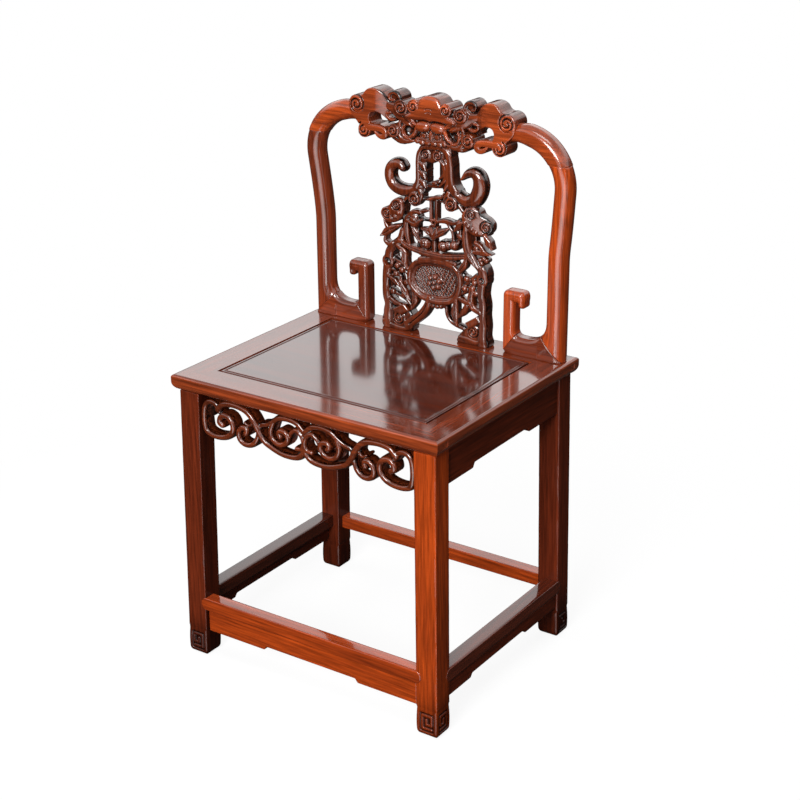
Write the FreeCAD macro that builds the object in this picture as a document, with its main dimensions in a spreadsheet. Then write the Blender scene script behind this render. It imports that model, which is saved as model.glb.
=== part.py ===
"""Carved hardwood side chair. Millimetres, +Z up, origin on the floor under the middle of the seat.

+X is to the right as seen from the front, -Y is the front of the chair.
"""
import FreeCAD, Part

import math
import os
import re

from FreeCAD import Placement, Rotation, Vector

# Driving dimensions. Every other size and place below is worked out from these.
SIZES = {
    # seat frame and panel
    "seat_height": 500,
    "seat_width": 502,
    "seat_depth": 420,
    "seat_thick": 27,
    "edge_top_round": 5,
    "edge_low_round": 15,
    "frame_front": 52,
    "frame_back": 62,
    "frame_side": 52,
    "lip_high": 6,
    "groove_high": 7,
    "groove_deep": 7,
    "quirk_wide": 4,
    "panel_play": 0.5,
    "batten_wide": 30,
    "batten_high": 12,
    "batten_place": 82,
    "dovetail_high": 4,
    "dovetail_wide": 22,
    "dovetail_slope": 2,
    "corner_tenon_from": 14,
    "corner_tenon_wide": 14,
    "corner_tenon_high": 9,
    "corner_tenon_drop": 7,
    "corner_tenon_short": 1,
    "corner_tenon_root": 6,
    # legs, which spread a little towards the floor
    "leg_wide": 37,
    "leg_deep": 35,
    "leg_inset_side": 10,
    "leg_inset_front": 9.5,
    "leg_splay_side": 7,
    "leg_splay_front": 5,
    "leg_tenon_side": 10,
    "leg_tenon_high": 9,
    "leg_tenon_shift": 8,
    "foot_round": 6,
    "foot_high": 48,
    "foot_groove": 3,
    "foot_groove_deep": 1.5,
    # stretchers and the skirts under them
    "stretcher_front_top": 110.5,
    "stretcher_front_high": 22,
    "stretcher_front_deep": 21,
    "stretcher_side_top": 109,
    "stretcher_side_high": 22,
    "stretcher_side_deep": 25,
    "stretcher_back_top": 105,
    "stretcher_back_high": 23,
    "stretcher_back_deep": 24,
    "stretcher_tenon": 15,
    "stretcher_tenon_set": 5,
    "stretcher_tenon_thick": 10,
    "tongue_long": 6.5,
    "tongue_deep": 6,
    "skirt_front_low": 49.5,
    "skirt_side_low": 58.5,
    "skirt_thick": 13,
    "skirt_set": 2.5,
    "skirt_gap": 0.5,
    "skirt_rise": 6.5,
    "skirt_middle_front": 92,
    "skirt_middle_side": 82,
    "skirt_ridge_high": 5,
    "skirt_ridge_short": 8,
    # aprons under the seat
    "apron_low": 413,
    "apron_thick": 16,
    "apron_set": 4,
    "apron_rise": 8,
    "apron_middle_side": 84,
    "apron_middle_back": 110,
    "apron_tenon": 6,
    "apron_tenon_low": 14,
    "apron_tenon_drop": 10,
    "carved_apron_deep": 20,
    # back
    "back_set": 48,
    "post_wide": 30,
    "post_deep": 30,
    "post_round": 9,
    "post_inset": 24,
    "post_straight": 175,
    "post_lean": 19,
    "post_bend": 250,
    "shoulder_bend": 77,
    "crest_middle": 363,
    "crest_proud": 8,
    "crest_deep": 36,
    "crest_drop": 38,
    "joint_drop": 41,
    "bar_high": 30,
    "bar_deep": 28,
    "hook_gap": 40,
    "hook_wide": 22,
    "hook_high": 106,
    "hook_long": 39,
    "hook_arm_high": 20,
    "hook_drop": 27,
    "hook_tip": 11,
    "hook_round": 8,
    "splat_proud": 0,
    "splat_deep": 24,
    "splat_tenon_root": 8,
    "back_tenon": 12,
    "shoulder_tenon": 9,
    # clearances
    "joint_gap": 0.2,
    "curve_gap": 0.3,
}

doc = FreeCAD.newDocument("SideChair")
sheet = doc.addObject("Spreadsheet::Sheet", "Sizes")
for row, (alias, number) in enumerate(SIZES.items(), start=1):
    sheet.set(f"A{row}", alias)
    sheet.set(f"B{row}", str(number))
    sheet.setAlias(f"B{row}", alias)
doc.recompute()

nodes = []

# Pieces that are joined run this far into each other, and cutters run this far past what they cut
LAP = 1
PAST = 5


def size(alias):
    """The number in one cell of the sheet."""
    return float(sheet.get(alias))


def bind(thing, prop, text):
    """Binds a property to an expression in which every word with an underscore is a cell."""
    thing.setExpression(prop, re.sub(r"[a-z]+(?:_[a-z]+)+", r"Sizes.\g<0>", text))


def node(thing, label):
    """Names a finished sub-part."""
    thing.Label = label
    nodes.append(thing)
    return thing


def fused(name, things):
    whole = doc.addObject("Part::MultiFuse", name)
    whole.Shapes = things
    whole.Refine = True
    return whole


def cut(name, base, tools):
    """The base with all the tools taken out of it."""
    rest = doc.addObject("Part::Cut", name)
    rest.Base = base
    rest.Tool = tools[0] if len(tools) == 1 else fused(f"{name}_tools", tools)
    return rest


def rounded(name, base, wanted):
    """The base with each edge that wanted gives a radius for filleted."""
    doc.recompute()
    edges = [(i, wanted(edge)) for i, edge in enumerate(base.Shape.Edges, start=1)]
    soft = doc.addObject("Part::Fillet", name)
    soft.Base = base
    soft.Edges = [(i, radius, radius) for i, radius in edges if radius]
    return soft


def flat(text):
    """A face that stays in one place at every height."""
    return lambda z: text


def opposite(face):
    return lambda z: f"-({face(z)})"


def on_side(side, near, far):
    """The two faces, lower first, of what lies from near to far on one side of the middle."""
    return (near, far) if side > 0 else (opposite(far), opposite(near))


def prism(name, low, high, left, right, front, back):
    """A block between two heights. Each of its four faces may lean, so it is a function of height."""
    block = doc.addObject("Part::Wedge", name)
    bind(block, "Ymin", low)
    bind(block, "Ymax", high)
    bind(block, "Xmin", left(low))
    bind(block, "Xmax", right(low))
    bind(block, "X2min", left(high))
    bind(block, "X2max", right(high))
    bind(block, "Zmin", f"-({back(low)})")
    bind(block, "Zmax", f"-({front(low)})")
    bind(block, "Z2min", f"-({back(high)})")
    bind(block, "Z2max", f"-({front(high)})")
    block.Placement = Placement(Vector(0, 0, 0), Rotation(Vector(1, 0, 0), 90))
    return block


# Faces of the legs, as functions of height
UNDER = "(seat_height - seat_thick)"


def leg_out_x(z):
    return f"(seat_width / 2 - leg_inset_side + leg_splay_side * (1 - ({z}) / {UNDER}))"


def leg_out_y(z):
    return f"(seat_depth / 2 - leg_inset_front + leg_splay_front * (1 - ({z}) / {UNDER}))"


def leg_in_x(z):
    return f"({leg_out_x(z)} - leg_wide)"


def leg_in_y(z):
    return f"({leg_out_y(z)} - leg_deep)"


def between_legs(name, along, side, low, high, set_back, thick, end_gap="0"):
    """A board from leg to leg on one side of the chair, set back from the legs' outer faces."""
    inner, outer = (leg_in_x, leg_out_y) if along == "x" else (leg_in_y, leg_out_x)

    def end(z):
        return f"({inner(z)} - {end_gap})"

    def near(z):
        return f"({outer(z)} - {set_back} - {thick})"

    def far(z):
        return f"({outer(z)} - {set_back})"

    span = (opposite(end), end)
    depth = on_side(side, near, far)
    faces = (*span, *depth) if along == "x" else (*depth, *span)
    return prism(name, low, high, *faces)


def straight_bar(name, along, side, low, high, reach, set_back, thick, room="0"):
    """A square-cornered bar along one side that reaches into both legs: a tenon, or with room a mortise."""
    inner, outer = (leg_in_x, leg_out_y) if along == "x" else (leg_in_y, leg_out_x)
    middle = f"(({low}) + ({high})) / 2"
    end = f"({inner(middle)} + {reach} + {room})"
    near = f"({outer(middle)} - {set_back} - {thick} - {room})"
    far = f"({outer(middle)} - {set_back} + {room})"
    span = (flat(f"-{end}"), flat(end))
    depth = on_side(side, flat(near), flat(far))
    faces = (*span, *depth) if along == "x" else (*depth, *span)
    return prism(name, f"{low} - {room}", f"{high} + {room}", *faces)


def block(name, low, high, x_from, x_to, y_from, y_to, room="0"):
    """An upright box, grown by room on every side."""
    return prism(
        name,
        f"{low} - {room}",
        f"{high} + {room}",
        flat(f"{x_from} - {room}"),
        flat(f"{x_to} + {room}"),
        flat(f"{y_from} - {room}"),
        flat(f"{y_to} + {room}"),
    )


GAP = "joint_gap"
SIDES = (("left", -1), ("right", 1))
ENDS = (("front", -1), ("back", 1))
CORNERS = [(end, side, end_sign, side_sign) for end, end_sign in ENDS for side, side_sign in SIDES]

# Cutters that each rail or leg needs, by the node they belong to
leg_cuts = {f"leg_{end}_{side}": [] for end, side, _, _ in CORNERS}
rail_cuts = {name: [] for name in ("front", "back", "left", "right")}


def leg_names(along, side_name):
    """The two legs that a board on this side runs between."""
    if along == "x":
        return [f"leg_{side_name}_{side}" for side, _ in SIDES]
    return [f"leg_{end}_{side_name}" for end, _ in ENDS]


# Stretchers: rails between the legs with tenons, rounded tongues on the outer face, and skirts below
STRETCHERS = (("front", "x", -1), ("back", "x", 1), ("left", "y", -1), ("right", "y", 1))


def tongue(name, along, side, end_sign, middle, high, room):
    """The rounded end of a stretcher that laps over the outer face of a leg."""
    inner, outer = (leg_in_x, leg_out_y) if along == "x" else (leg_in_y, leg_out_x)
    disc = doc.addObject("Part::Cylinder", name)
    bind(disc, "Radius", f"{high} / 2 + {room}")
    bind(disc, "Height", f"tongue_deep + 2 * {room}")
    centre = f"{end_sign} * ({inner(middle)} + tongue_long - {high} / 2)"
    start = f"{side} * ({outer(middle)} + {room})"
    # the axis points from the outer face into the leg
    axis = Vector(0, -side, 0) if along == "x" else Vector(-side, 0, 0)
    disc.Placement = Placement(Vector(0, 0, 0), Rotation(Vector(0, 0, 1), axis))
    bind(disc, "Placement.Base.x", centre if along == "x" else start)
    bind(disc, "Placement.Base.y", start if along == "x" else centre)
    bind(disc, "Placement.Base.z", middle)
    return disc


def raised_middle(name, along, low, half, rise):
    """A cutter that lifts the lower edge of a board by rise over the middle of its length."""
    long_way = (f"-{half}", half)
    cross_way = ("-seat_width", "seat_width")
    across = (*long_way, *cross_way) if along == "x" else (*cross_way, *long_way)
    return block(name, f"{low} - {PAST}", f"{low} + {rise}", *across)


for place, along, side in STRETCHERS:
    kind = place if along == "x" else "side"
    high = f"stretcher_{kind}_high"
    top = f"stretcher_{kind}_top"
    deep = f"stretcher_{kind}_deep"
    low = f"({top} - {high})"
    middle = f"({top} - {high} / 2)"
    blank = between_legs(f"stretcher_blank_{place}", along, side, low, top, "0", deep)
    shoulder = f"{high} / 5"
    tenon_shape = (
        along,
        side,
        f"{low} + {shoulder}",
        f"{top} - {shoulder}",
        "stretcher_tenon",
        "stretcher_tenon_set",
        "stretcher_tenon_thick",
    )
    pieces = [blank, straight_bar(f"stretcher_tenon_{place}", *tenon_shape)]
    grooves = []
    for leg in leg_names(along, place):
        leg_cuts[leg].append(straight_bar(f"stretcher_mortise_{place}_{leg}", *tenon_shape, GAP))
    if place != "back":
        for sign, leg in zip((-1, 1), leg_names(along, place)):
            disc = (along, side, sign, middle, high)
            pieces.append(tongue(f"tongue_{place}_{leg}", *disc, "0"))
            leg_cuts[leg].append(tongue(f"tongue_seat_{place}_{leg}", *disc, "curve_gap"))
        # the skirt hangs from a groove in the underside of the stretcher
        skirt_low = f"skirt_{kind}_low"
        board = between_legs(
            f"skirt_board_{place}", along, side, skirt_low, low, "skirt_set", "skirt_thick", "skirt_gap"
        )
        ridge = (
            along,
            side,
            low,
            f"{low} + skirt_ridge_high",
            "(-skirt_ridge_short)",
            "(skirt_set + skirt_thick / 3)",
            "skirt_thick / 3",
        )
        grooves.append(straight_bar(f"skirt_groove_{place}", *ridge, GAP))
        arch = raised_middle(f"skirt_arch_{place}", along, skirt_low, f"skirt_middle_{kind}", "skirt_rise")
        whole = fused(f"skirt_whole_{place}", [board, straight_bar(f"skirt_ridge_{place}", *ridge)])
        node(cut(f"skirt_cut_{place}", whole, [arch]), f"skirt_{place}")
    whole = fused(f"stretcher_whole_{place}", pieces)
    node(cut(f"stretcher_cut_{place}", whole, grooves) if grooves else whole, f"stretcher_{place}")

# Plain aprons under the seat, deeper at the ends, with a tenon into each leg
for place, along, side in STRETCHERS[1:]:
    board = between_legs(f"apron_board_{place}", along, side, "apron_low", UNDER, "apron_set", "apron_thick")
    tenon_shape = (
        along,
        side,
        "apron_low + apron_tenon_low",
        f"{UNDER} - apron_tenon_drop",
        "apron_tenon",
        "(apron_set + apron_thick / 4)",
        "apron_thick / 2",
    )
    for leg in leg_names(along, place):
        leg_cuts[leg].append(straight_bar(f"apron_mortise_{place}_{leg}", *tenon_shape, GAP))
    half = "apron_middle_back" if along == "x" else "apron_middle_side"
    arch = raised_middle(f"apron_arch_{place}", along, "apron_low", half, "apron_rise")
    whole = fused(f"apron_whole_{place}", [board, straight_bar(f"apron_tenon_{place}", *tenon_shape)])
    node(cut(f"apron_cut_{place}", whole, [arch]), f"apron_{place}")


# Flat strands for the carved boards, drawn in the XZ plane and cut through their full depth
def strand(points, widths):
    """A flat face along a smooth line through points, with a width at each point and round ends."""
    spine = Part.BSplineCurve()
    spine.interpolate([Vector(x, 0, z) for x, z in points])
    stops = [spine.parameter(Vector(x, 0, z)) for x, z in points]
    steps = 4
    left, right = [], []
    for i in range(len(points) - 1):
        for k in range(steps + (i == len(points) - 2)):
            share = k / steps
            at = stops[i] + (stops[i + 1] - stops[i]) * share
            half = (widths[i] + (widths[i + 1] - widths[i]) * share) / 2
            along = spine.tangent(at)[0]
            normal = Vector(-along.z, 0, along.x)
            left.append(spine.value(at) + normal * half)
            right.append(spine.value(at) - normal * half)
    sides = []
    for line in (left, right):
        side = Part.BSplineCurve()
        side.interpolate(line)
        sides.append(side.toShape())
    start = spine.value(stops[0]) - spine.tangent(stops[0])[0] * widths[0] / 2
    end = spine.value(stops[-1]) + spine.tangent(stops[-1])[0] * widths[-1] / 2
    caps = [Part.Arc(left[0], start, right[0]).toShape(), Part.Arc(left[-1], end, right[-1]).toShape()]
    return Part.Face(Part.Wire(Part.sortEdges([*sides, *caps])[0]))


def even_strand(points, width):
    return strand(points, [width] * len(points))


def disc_face(x, z, radius):
    return Part.Face(Part.Wire(Part.makeCircle(radius, Vector(x, 0, z), Vector(0, 1, 0))))


def panel_face(points):
    corners = [Vector(x, 0, z) for x, z in points]
    return Part.Face(Part.makePolygon([*corners, corners[0]]))


def mirrored(points):
    return [(-x, z) for x, z in points]


def carved(name, faces, front, deep):
    """A board sawn to the joined outline of faces, from front backwards."""
    slices = [face.extrude(Vector(0, deep, 0)) for face in faces]
    board = doc.addObject("Part::Feature", name)
    board.Shape = slices[0].multiFuse(slices[1:]).removeSplitter()
    board.Placement = Placement(Vector(0, front, 0), Rotation())
    return board


# Carved front apron: interlaced tendrils, drawn for one half and mirrored.
# Points are (distance from the middle, distance below the seat), drawn for this half width between the legs.
APRON_HALF = 205
TENDRILS = (
    # arch beside the leg, dropping into the lobe beside the middle
    ([(169, 19), (158, 9), (140, 5), (118, 8), (104, 16), (95, 28), (88, 41), (78, 54), (64, 61), (46, 67),
      (28, 68), (12, 64), (3, 55), (1, 44)], 10),
    # hump beside the middle, crossing the arch into the small scroll
    ([(-3, 28), (4, 17), (16, 8), (34, 5), (50, 9), (62, 18), (74, 25), (84, 28), (91, 37), (92, 48), (97, 59),
      (106, 66), (117, 67), (126, 62), (129, 53), (126, 44), (118, 39), (112, 42)], 10),
    # loop against the leg, and its scroll
    ([(167, 23), (173, 13), (184, 10), (195, 16), (199, 30), (199, 49), (195, 62), (180, 67), (163, 66)], 10),
    ([(180, 67), (163, 66), (150, 61), (141, 51), (140, 39), (146, 30), (156, 27), (164, 32), (166, 40)], 10),
    # scroll beside the middle
    ([(61, 20), (65, 33), (61, 45), (50, 51), (38, 48), (31, 39), (34, 30), (43, 27)], 9),
    # short strand from the scroll back to the middle
    ([(31, 39), (24, 26), (14, 20), (5, 26), (1, 38)], 8),
)
# pads that meet the underside of the seat, as (middle, width), and the strip against the leg
TOP_PADS = ((140, 34), (34, 34), (184, 22))
PAD_HIGH = 5
END_STRIP = ((199, 20), (212, 58))


def apron_points(points):
    wide = (size("seat_width") / 2 - size("leg_inset_side") - size("leg_wide")) / APRON_HALF
    top = size("seat_height") - size("seat_thick")
    return [(x * wide, top - drop) for x, drop in points]


tendrils = []
for points, width in TENDRILS:
    line = apron_points(points)
    tendrils.append(even_strand(line, width))
    tendrils.append(even_strand(mirrored(line), width))
pads = [((middle - wide / 2, 0), (middle + wide / 2, PAD_HIGH)) for middle, wide in TOP_PADS]
for corners in [*pads, END_STRIP]:
    (left, top), (right, low) = apron_points(corners)
    pad = [(left, low), (right, low), (right, top), (left, top)]
    tendrils.append(panel_face(pad))
    tendrils.append(panel_face(mirrored(pad)))

leg_blanks = {}
for end, side, end_sign, side_sign in CORNERS:
    leg_blanks[f"leg_{end}_{side}"] = prism(
        f"leg_blank_{end}_{side}",
        "0",
        UNDER,
        *on_side(side_sign, leg_in_x, leg_out_x),
        *on_side(end_sign, leg_in_y, leg_out_y),
    )
apron_face_y = -(size("seat_depth") / 2 - size("leg_inset_front") - size("apron_set"))
sawn = carved("carved_apron_sawn", tendrils, apron_face_y, size("carved_apron_deep"))
# the end strips run into the legs and are trimmed to them, and the humps are trimmed flat under the seat
trims = [leg_blanks["leg_front_left"], leg_blanks["leg_front_right"]]
trims.append(block("carved_apron_trim", UNDER, "seat_height", "-seat_width", "seat_width", "-seat_depth", "0"))
node(cut("carved_apron_cut", sawn, trims), "apron_front_carved")

# Seat frame: four mitred members, rounded outside and grooved inside
RAILS = (
    ("front", 0, "seat_depth", "seat_width", "frame_front", "frame_side", "frame_side"),
    ("right", 90, "seat_width", "seat_depth", "frame_side", "frame_front", "frame_back"),
    ("back", 180, "seat_depth", "seat_width", "frame_back", "frame_side", "frame_side"),
    ("left", -90, "seat_width", "seat_depth", "frame_side", "frame_back", "frame_front"),
)
INSIDE_X = "(seat_width / 2 - frame_side)"
INSIDE_FRONT = "(frame_front - seat_depth / 2)"
INSIDE_BACK = "(seat_depth / 2 - frame_back)"
GROOVE_TOP = "(seat_height - lip_high)"
GROOVE_LOW = "(seat_height - lip_high - groove_high)"


def outer_round(reach):
    """Radius for the two long edges at the outside of a rail, in the rail's own frame before it is turned."""

    def wanted(edge):
        middle = edge.CenterOfMass
        long_edge = abs(edge.tangentAt(edge.FirstParameter).x) > 0.99
        if not long_edge or abs(middle.y + reach) > 0.01:
            return 0
        high = middle.z > size("seat_height") - size("seat_thick") / 2
        return size("edge_top_round") if high else size("edge_low_round")

    return wanted


def rail_blank(place, turn, across, length, width, start_mitre, end_mitre):
    """One member of the frame, its outer edge along -Y before it is turned into place."""
    blank = doc.addObject("Part::Wedge", f"rail_blank_{place}")
    bind(blank, "Ymin", f"-{across} / 2")
    bind(blank, "Ymax", f"{width} - {across} / 2")
    bind(blank, "Xmin", f"-{length} / 2")
    bind(blank, "Xmax", f"{length} / 2")
    bind(blank, "X2min", f"{start_mitre} - {length} / 2")
    bind(blank, "X2max", f"{length} / 2 - {end_mitre}")
    for prop, height in (("Zmin", UNDER), ("Z2min", UNDER), ("Zmax", "seat_height"), ("Z2max", "seat_height")):
        bind(blank, prop, height)
    soft = rounded(f"rail_round_{place}", blank, outer_round(size(across) / 2))
    soft.Placement = Placement(Vector(0, 0, 0), Rotation(Vector(0, 0, 1), turn))
    return soft


def reach_to(inset):
    return f"(seat_width / 2 - {inset})"


rails = {rail[0]: [rail_blank(*rail)] for rail in RAILS}
for place in rails:
    rail_cuts[place].append(
        block(
            f"panel_groove_{place}",
            GROOVE_LOW,
            GROOVE_TOP,
            f"-{INSIDE_X} - groove_deep",
            f"{INSIDE_X} + groove_deep",
            f"{INSIDE_FRONT} - groove_deep",
            f"{INSIDE_BACK} + groove_deep",
        )
    )

# Corner tenons: each long rail runs through the side rails and shows at their outer faces
for end, end_sign in ENDS:
    tenon_top = "(seat_height - corner_tenon_drop)"
    tenon_low = f"({tenon_top} - corner_tenon_high)"
    far = "(seat_depth / 2 - corner_tenon_from)"
    near = f"({far} - corner_tenon_wide)"
    y_from, y_to = (near, far) if end_sign > 0 else (f"-{far}", f"-{near}")
    out = reach_to("corner_tenon_short")
    root = reach_to("frame_side + corner_tenon_root")
    for side, side_sign in SIDES:
        x_from, x_to = (root, out) if side_sign > 0 else (f"-{out}", f"-{root}")
        tenon = (tenon_low, tenon_top, x_from, x_to, y_from, y_to)
        rails[end].append(block(f"corner_tenon_{end}_{side}", *tenon))
        through = (x_from, f"{x_to} + {PAST}") if side_sign > 0 else (f"{x_from} - {PAST}", x_to)
        mortise = (tenon_low, tenon_top, *through, y_from, y_to)
        rail_cuts[side].append(block(f"corner_mortise_{end}_{side}", *mortise, GAP))

# Legs: spread posts with a groove above the foot and two tenons into the mitred seat corner
for end, side, end_sign, side_sign in CORNERS:
    name = f"leg_{end}_{side}"
    pieces = [leg_blanks[name]]
    middle_x = f"({leg_in_x(UNDER)} + leg_wide / 2)"
    middle_y = f"({leg_in_y(UNDER)} + leg_deep / 2)"
    for rail, shift in ((end, -1), (side, 1)):
        cx = f"({middle_x} + {shift} * leg_tenon_shift)"
        cy = f"({middle_y} - {shift} * leg_tenon_shift)"
        half = "leg_tenon_side / 2"
        x_faces = (f"{side_sign} * {cx} - {half}", f"{side_sign} * {cx} + {half}")
        y_faces = (f"{end_sign} * {cy} - {half}", f"{end_sign} * {cy} + {half}")
        tenon = (UNDER, f"({UNDER} + leg_tenon_high)", *x_faces, *y_faces)
        pieces.append(block(f"{name}_tenon_{rail}", *tenon))
        for member in (end, side):
            rail_cuts[member].append(block(f"{name}_mortise_{rail}_{member}", *tenon, GAP))
    low = "foot_high"
    high = "(foot_high + foot_groove)"
    deep = "foot_groove_deep"
    ring_x = on_side(side_sign, flat(f"{leg_out_x(low)} - {deep}"), flat(f"{leg_out_x(low)} + {PAST}"))
    ring_y = on_side(end_sign, flat(f"{leg_in_y(low)} - {PAST}"), flat(f"{leg_out_y(low)} + {PAST}"))
    leg_cuts[name].append(prism(f"{name}_groove_side", low, high, *ring_x, *ring_y))
    ring_x = on_side(side_sign, flat(f"{leg_in_x(low)} - {PAST}"), flat(f"{leg_out_x(low)} + {PAST}"))
    ring_y = on_side(end_sign, flat(f"{leg_out_y(low)} - {deep}"), flat(f"{leg_out_y(low)} + {PAST}"))
    leg_cuts[name].append(prism(f"{name}_groove_{end}", low, high, *ring_x, *ring_y))
    trimmed = cut(f"{name}_cut", fused(f"{name}_whole", pieces), leg_cuts[name])

    def foot_edge(edge):
        return size("foot_round") if edge.BoundBox.ZMax < 0.01 else 0

    node(rounded(f"{name}_round", trimmed, foot_edge), name)

# Floating panel on two battens that are dovetailed into it and tenoned into the long rails
slab = block(
    "panel_slab",
    GROOVE_LOW,
    f"{GROOVE_TOP} - joint_gap",
    f"-{INSIDE_X} - groove_deep + panel_play",
    f"{INSIDE_X} + groove_deep - panel_play",
    f"{INSIDE_FRONT} - groove_deep + panel_play",
    f"{INSIDE_BACK} + groove_deep - panel_play",
)
field = block(
    "panel_field",
    f"{GROOVE_TOP} - {LAP}",
    "seat_height",
    f"-{INSIDE_X} + quirk_wide",
    f"{INSIDE_X} - quirk_wide",
    f"{INSIDE_FRONT} + quirk_wide",
    f"{INSIDE_BACK} - quirk_wide",
)
dovetail_slots = []
for side, sign in SIDES:
    centre = f"{sign} * batten_place"
    body = block(
        f"batten_body_{side}",
        f"{GROOVE_LOW} - batten_high",
        GROOVE_LOW,
        f"{centre} - batten_wide / 2",
        f"{centre} + batten_wide / 2",
        INSIDE_FRONT,
        INSIDE_BACK,
    )
    shoulder = "batten_high / 5"
    tenon = (
        f"({GROOVE_LOW} - batten_high + {shoulder})",
        f"({GROOVE_LOW} - {shoulder})",
        f"{centre} - batten_wide / 4",
        f"{centre} + batten_wide / 4",
        f"{INSIDE_FRONT} - groove_deep",
        f"{INSIDE_BACK} + groove_deep",
    )
    for place in ("front", "back"):
        rail_cuts[place].append(block(f"batten_mortise_{side}_{place}", *tenon, GAP))

    def key(name, room):
        """The dovetail ridge on a batten, or with room its slot, wider at the top than at the root."""

        def half(z):
            grow = f"dovetail_slope * (({z}) - {GROOVE_LOW}) / dovetail_high"
            return f"(dovetail_wide / 2 - dovetail_slope + {grow} + {room})"

        return prism(
            name,
            GROOVE_LOW,
            f"{GROOVE_LOW} + dovetail_high + {room}",
            lambda z: f"{centre} - {half(z)}",
            lambda z: f"{centre} + {half(z)}",
            flat(f"{INSIDE_FRONT} + joint_gap - {room}"),
            flat(f"{INSIDE_BACK} - joint_gap + {room}"),
        )

    dovetail_slots.append(key(f"dovetail_slot_{side}", GAP))
    batten = [body, block(f"batten_tenon_{side}", *tenon), key(f"dovetail_{side}", "0")]
    node(fused(f"batten_whole_{side}", batten), f"seat_batten_{side}")
node(cut("panel_cut", fused("panel_whole", [slab, field]), dovetail_slots), "seat_panel")

# Back posts and the bent shoulders of the crest: one arch on each side, cut at the shoulder joint
FLOOR = size("seat_height")
FRONT = size("seat_depth") / 2 - size("back_set")
POST = size("seat_width") / 2 - size("post_inset")
CREST = FLOOR + size("crest_middle")
JOINT = CREST - size("joint_drop")
# The shoulders run into the crest board this far from the middle
SHOULDER_END = 100

# The same places as expressions
BACK_FRONT = "(seat_depth / 2 - back_set)"
BACK_MIDDLE = f"({BACK_FRONT} + post_deep / 2)"
BAR_MIDDLE = f"({BACK_FRONT} + bar_deep / 2)"
SPLAT_MIDDLE = f"({BACK_FRONT} - splat_proud + splat_deep / 2)"
POST_MIDDLE = "(seat_width / 2 - post_inset)"
HOOK_NEAR = f"({POST_MIDDLE} - post_wide / 2 - hook_gap - hook_long)"
CREST_UNDER = "(seat_height + crest_middle - crest_drop)"


def turned(before, corner, after, shift):
    """A corner of a line moved sideways by shift, and +1 or -1 for the way the line turns there."""
    first = (corner - before).normalize()
    second = (after - corner).normalize()
    cross = first.x * second.z - first.z * second.x
    left = Vector(-first.z, 0, first.x)
    bisector = (left + Vector(-second.z, 0, second.x)).normalize()
    return corner + bisector * (shift / bisector.dot(left)), math.copysign(1, cross)


def side_line(points, radii, shift):
    """Lines and tangent arcs beside a line of points whose corners have the given radii."""
    first = (points[1] - points[0]).normalize()
    last = (points[-1] - points[-2]).normalize()
    corners = [points[0] + Vector(-first.z, 0, first.x) * shift]
    bends = []
    for before, corner, after, radius in zip(points, points[1:], points[2:], radii):
        moved, turn = turned(before, corner, after, shift)
        corners.append(moved)
        bends.append(radius - turn * shift)
    corners.append(points[-1] + Vector(-last.z, 0, last.x) * shift)
    edges = []
    start = corners[0]
    for before, corner, after, radius in zip(corners, corners[1:], corners[2:], bends):
        way_in = (before - corner).normalize()
        way_out = (after - corner).normalize()
        half_angle = way_in.getAngle(way_out) / 2
        tangent = radius / math.tan(half_angle)
        to_centre = (way_in + way_out).normalize()
        middle = corner + to_centre * (radius / math.sin(half_angle) - radius)
        bend_from = corner + way_in * tangent
        bend_to = corner + way_out * tangent
        edges.append(Part.LineSegment(start, bend_from).toShape())
        edges.append(Part.Arc(bend_from, middle, bend_to).toShape())
        start = bend_to
    edges.append(Part.LineSegment(start, corners[-1]).toShape())
    return edges, corners[0], corners[-1]


def arch_solid(sign):
    """Post and shoulder on one side, before they are cut apart."""
    points = [
        Vector(sign * POST, 0, FLOOR),
        Vector(sign * POST, 0, FLOOR + size("post_straight")),
        Vector(sign * (POST + size("post_lean")), 0, CREST),
        Vector(sign * SHOULDER_END, 0, CREST),
    ]
    radii = [size("post_bend"), size("shoulder_bend")]
    half = size("post_wide") / 2
    outer, outer_start, outer_end = side_line(points, radii, half)
    inner, inner_start, inner_end = side_line(points, radii, -half)
    closing = [Part.makeLine(outer_start, inner_start), Part.makeLine(outer_end, inner_end)]
    outline = Part.Wire(Part.sortEdges([*outer, *inner, *closing])[0])
    solid = Part.Face(outline).extrude(Vector(0, size("post_deep"), 0))

    def along_arch(edge):
        box = edge.BoundBox
        at_face = box.YLength < 0.01
        at_foot = box.ZMax < FLOOR + 0.01
        at_crest_end = box.XLength < 0.01 and abs(box.XMin - sign * SHOULDER_END) < 0.01
        return at_face and not at_foot and not at_crest_end

    soft = solid.makeFillet(size("post_round"), [edge for edge in solid.Edges if along_arch(edge)])
    soft.translate(Vector(0, FRONT, 0))
    return soft


def slab_between(low, high):
    """Everything between two heights, wide enough to take in the whole back."""
    reach = 2 * size("seat_width")
    return Part.makeBox(2 * reach, 2 * reach, high - low, Vector(-reach, -reach, low))


def upright(points, front, deep):
    """A straight-sided outline in the XZ plane given its depth."""
    solid = panel_face(points).extrude(Vector(0, deep, 0))
    solid.translate(Vector(0, front, 0))
    return solid


def feature(name, shape):
    thing = doc.addObject("Part::Feature", name)
    thing.Shape = shape
    return thing


def square_pin(x, y, room):
    """The tenon across a shoulder joint, or with room its mortise."""
    side = size("shoulder_tenon") + 2 * room
    low = JOINT - size("shoulder_tenon")
    return Part.makeBox(side, side, 2 * size("shoulder_tenon") + room, Vector(x - side / 2, y - side / 2, low))


arches = {side: arch_solid(sign) for side, sign in SIDES}

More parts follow.
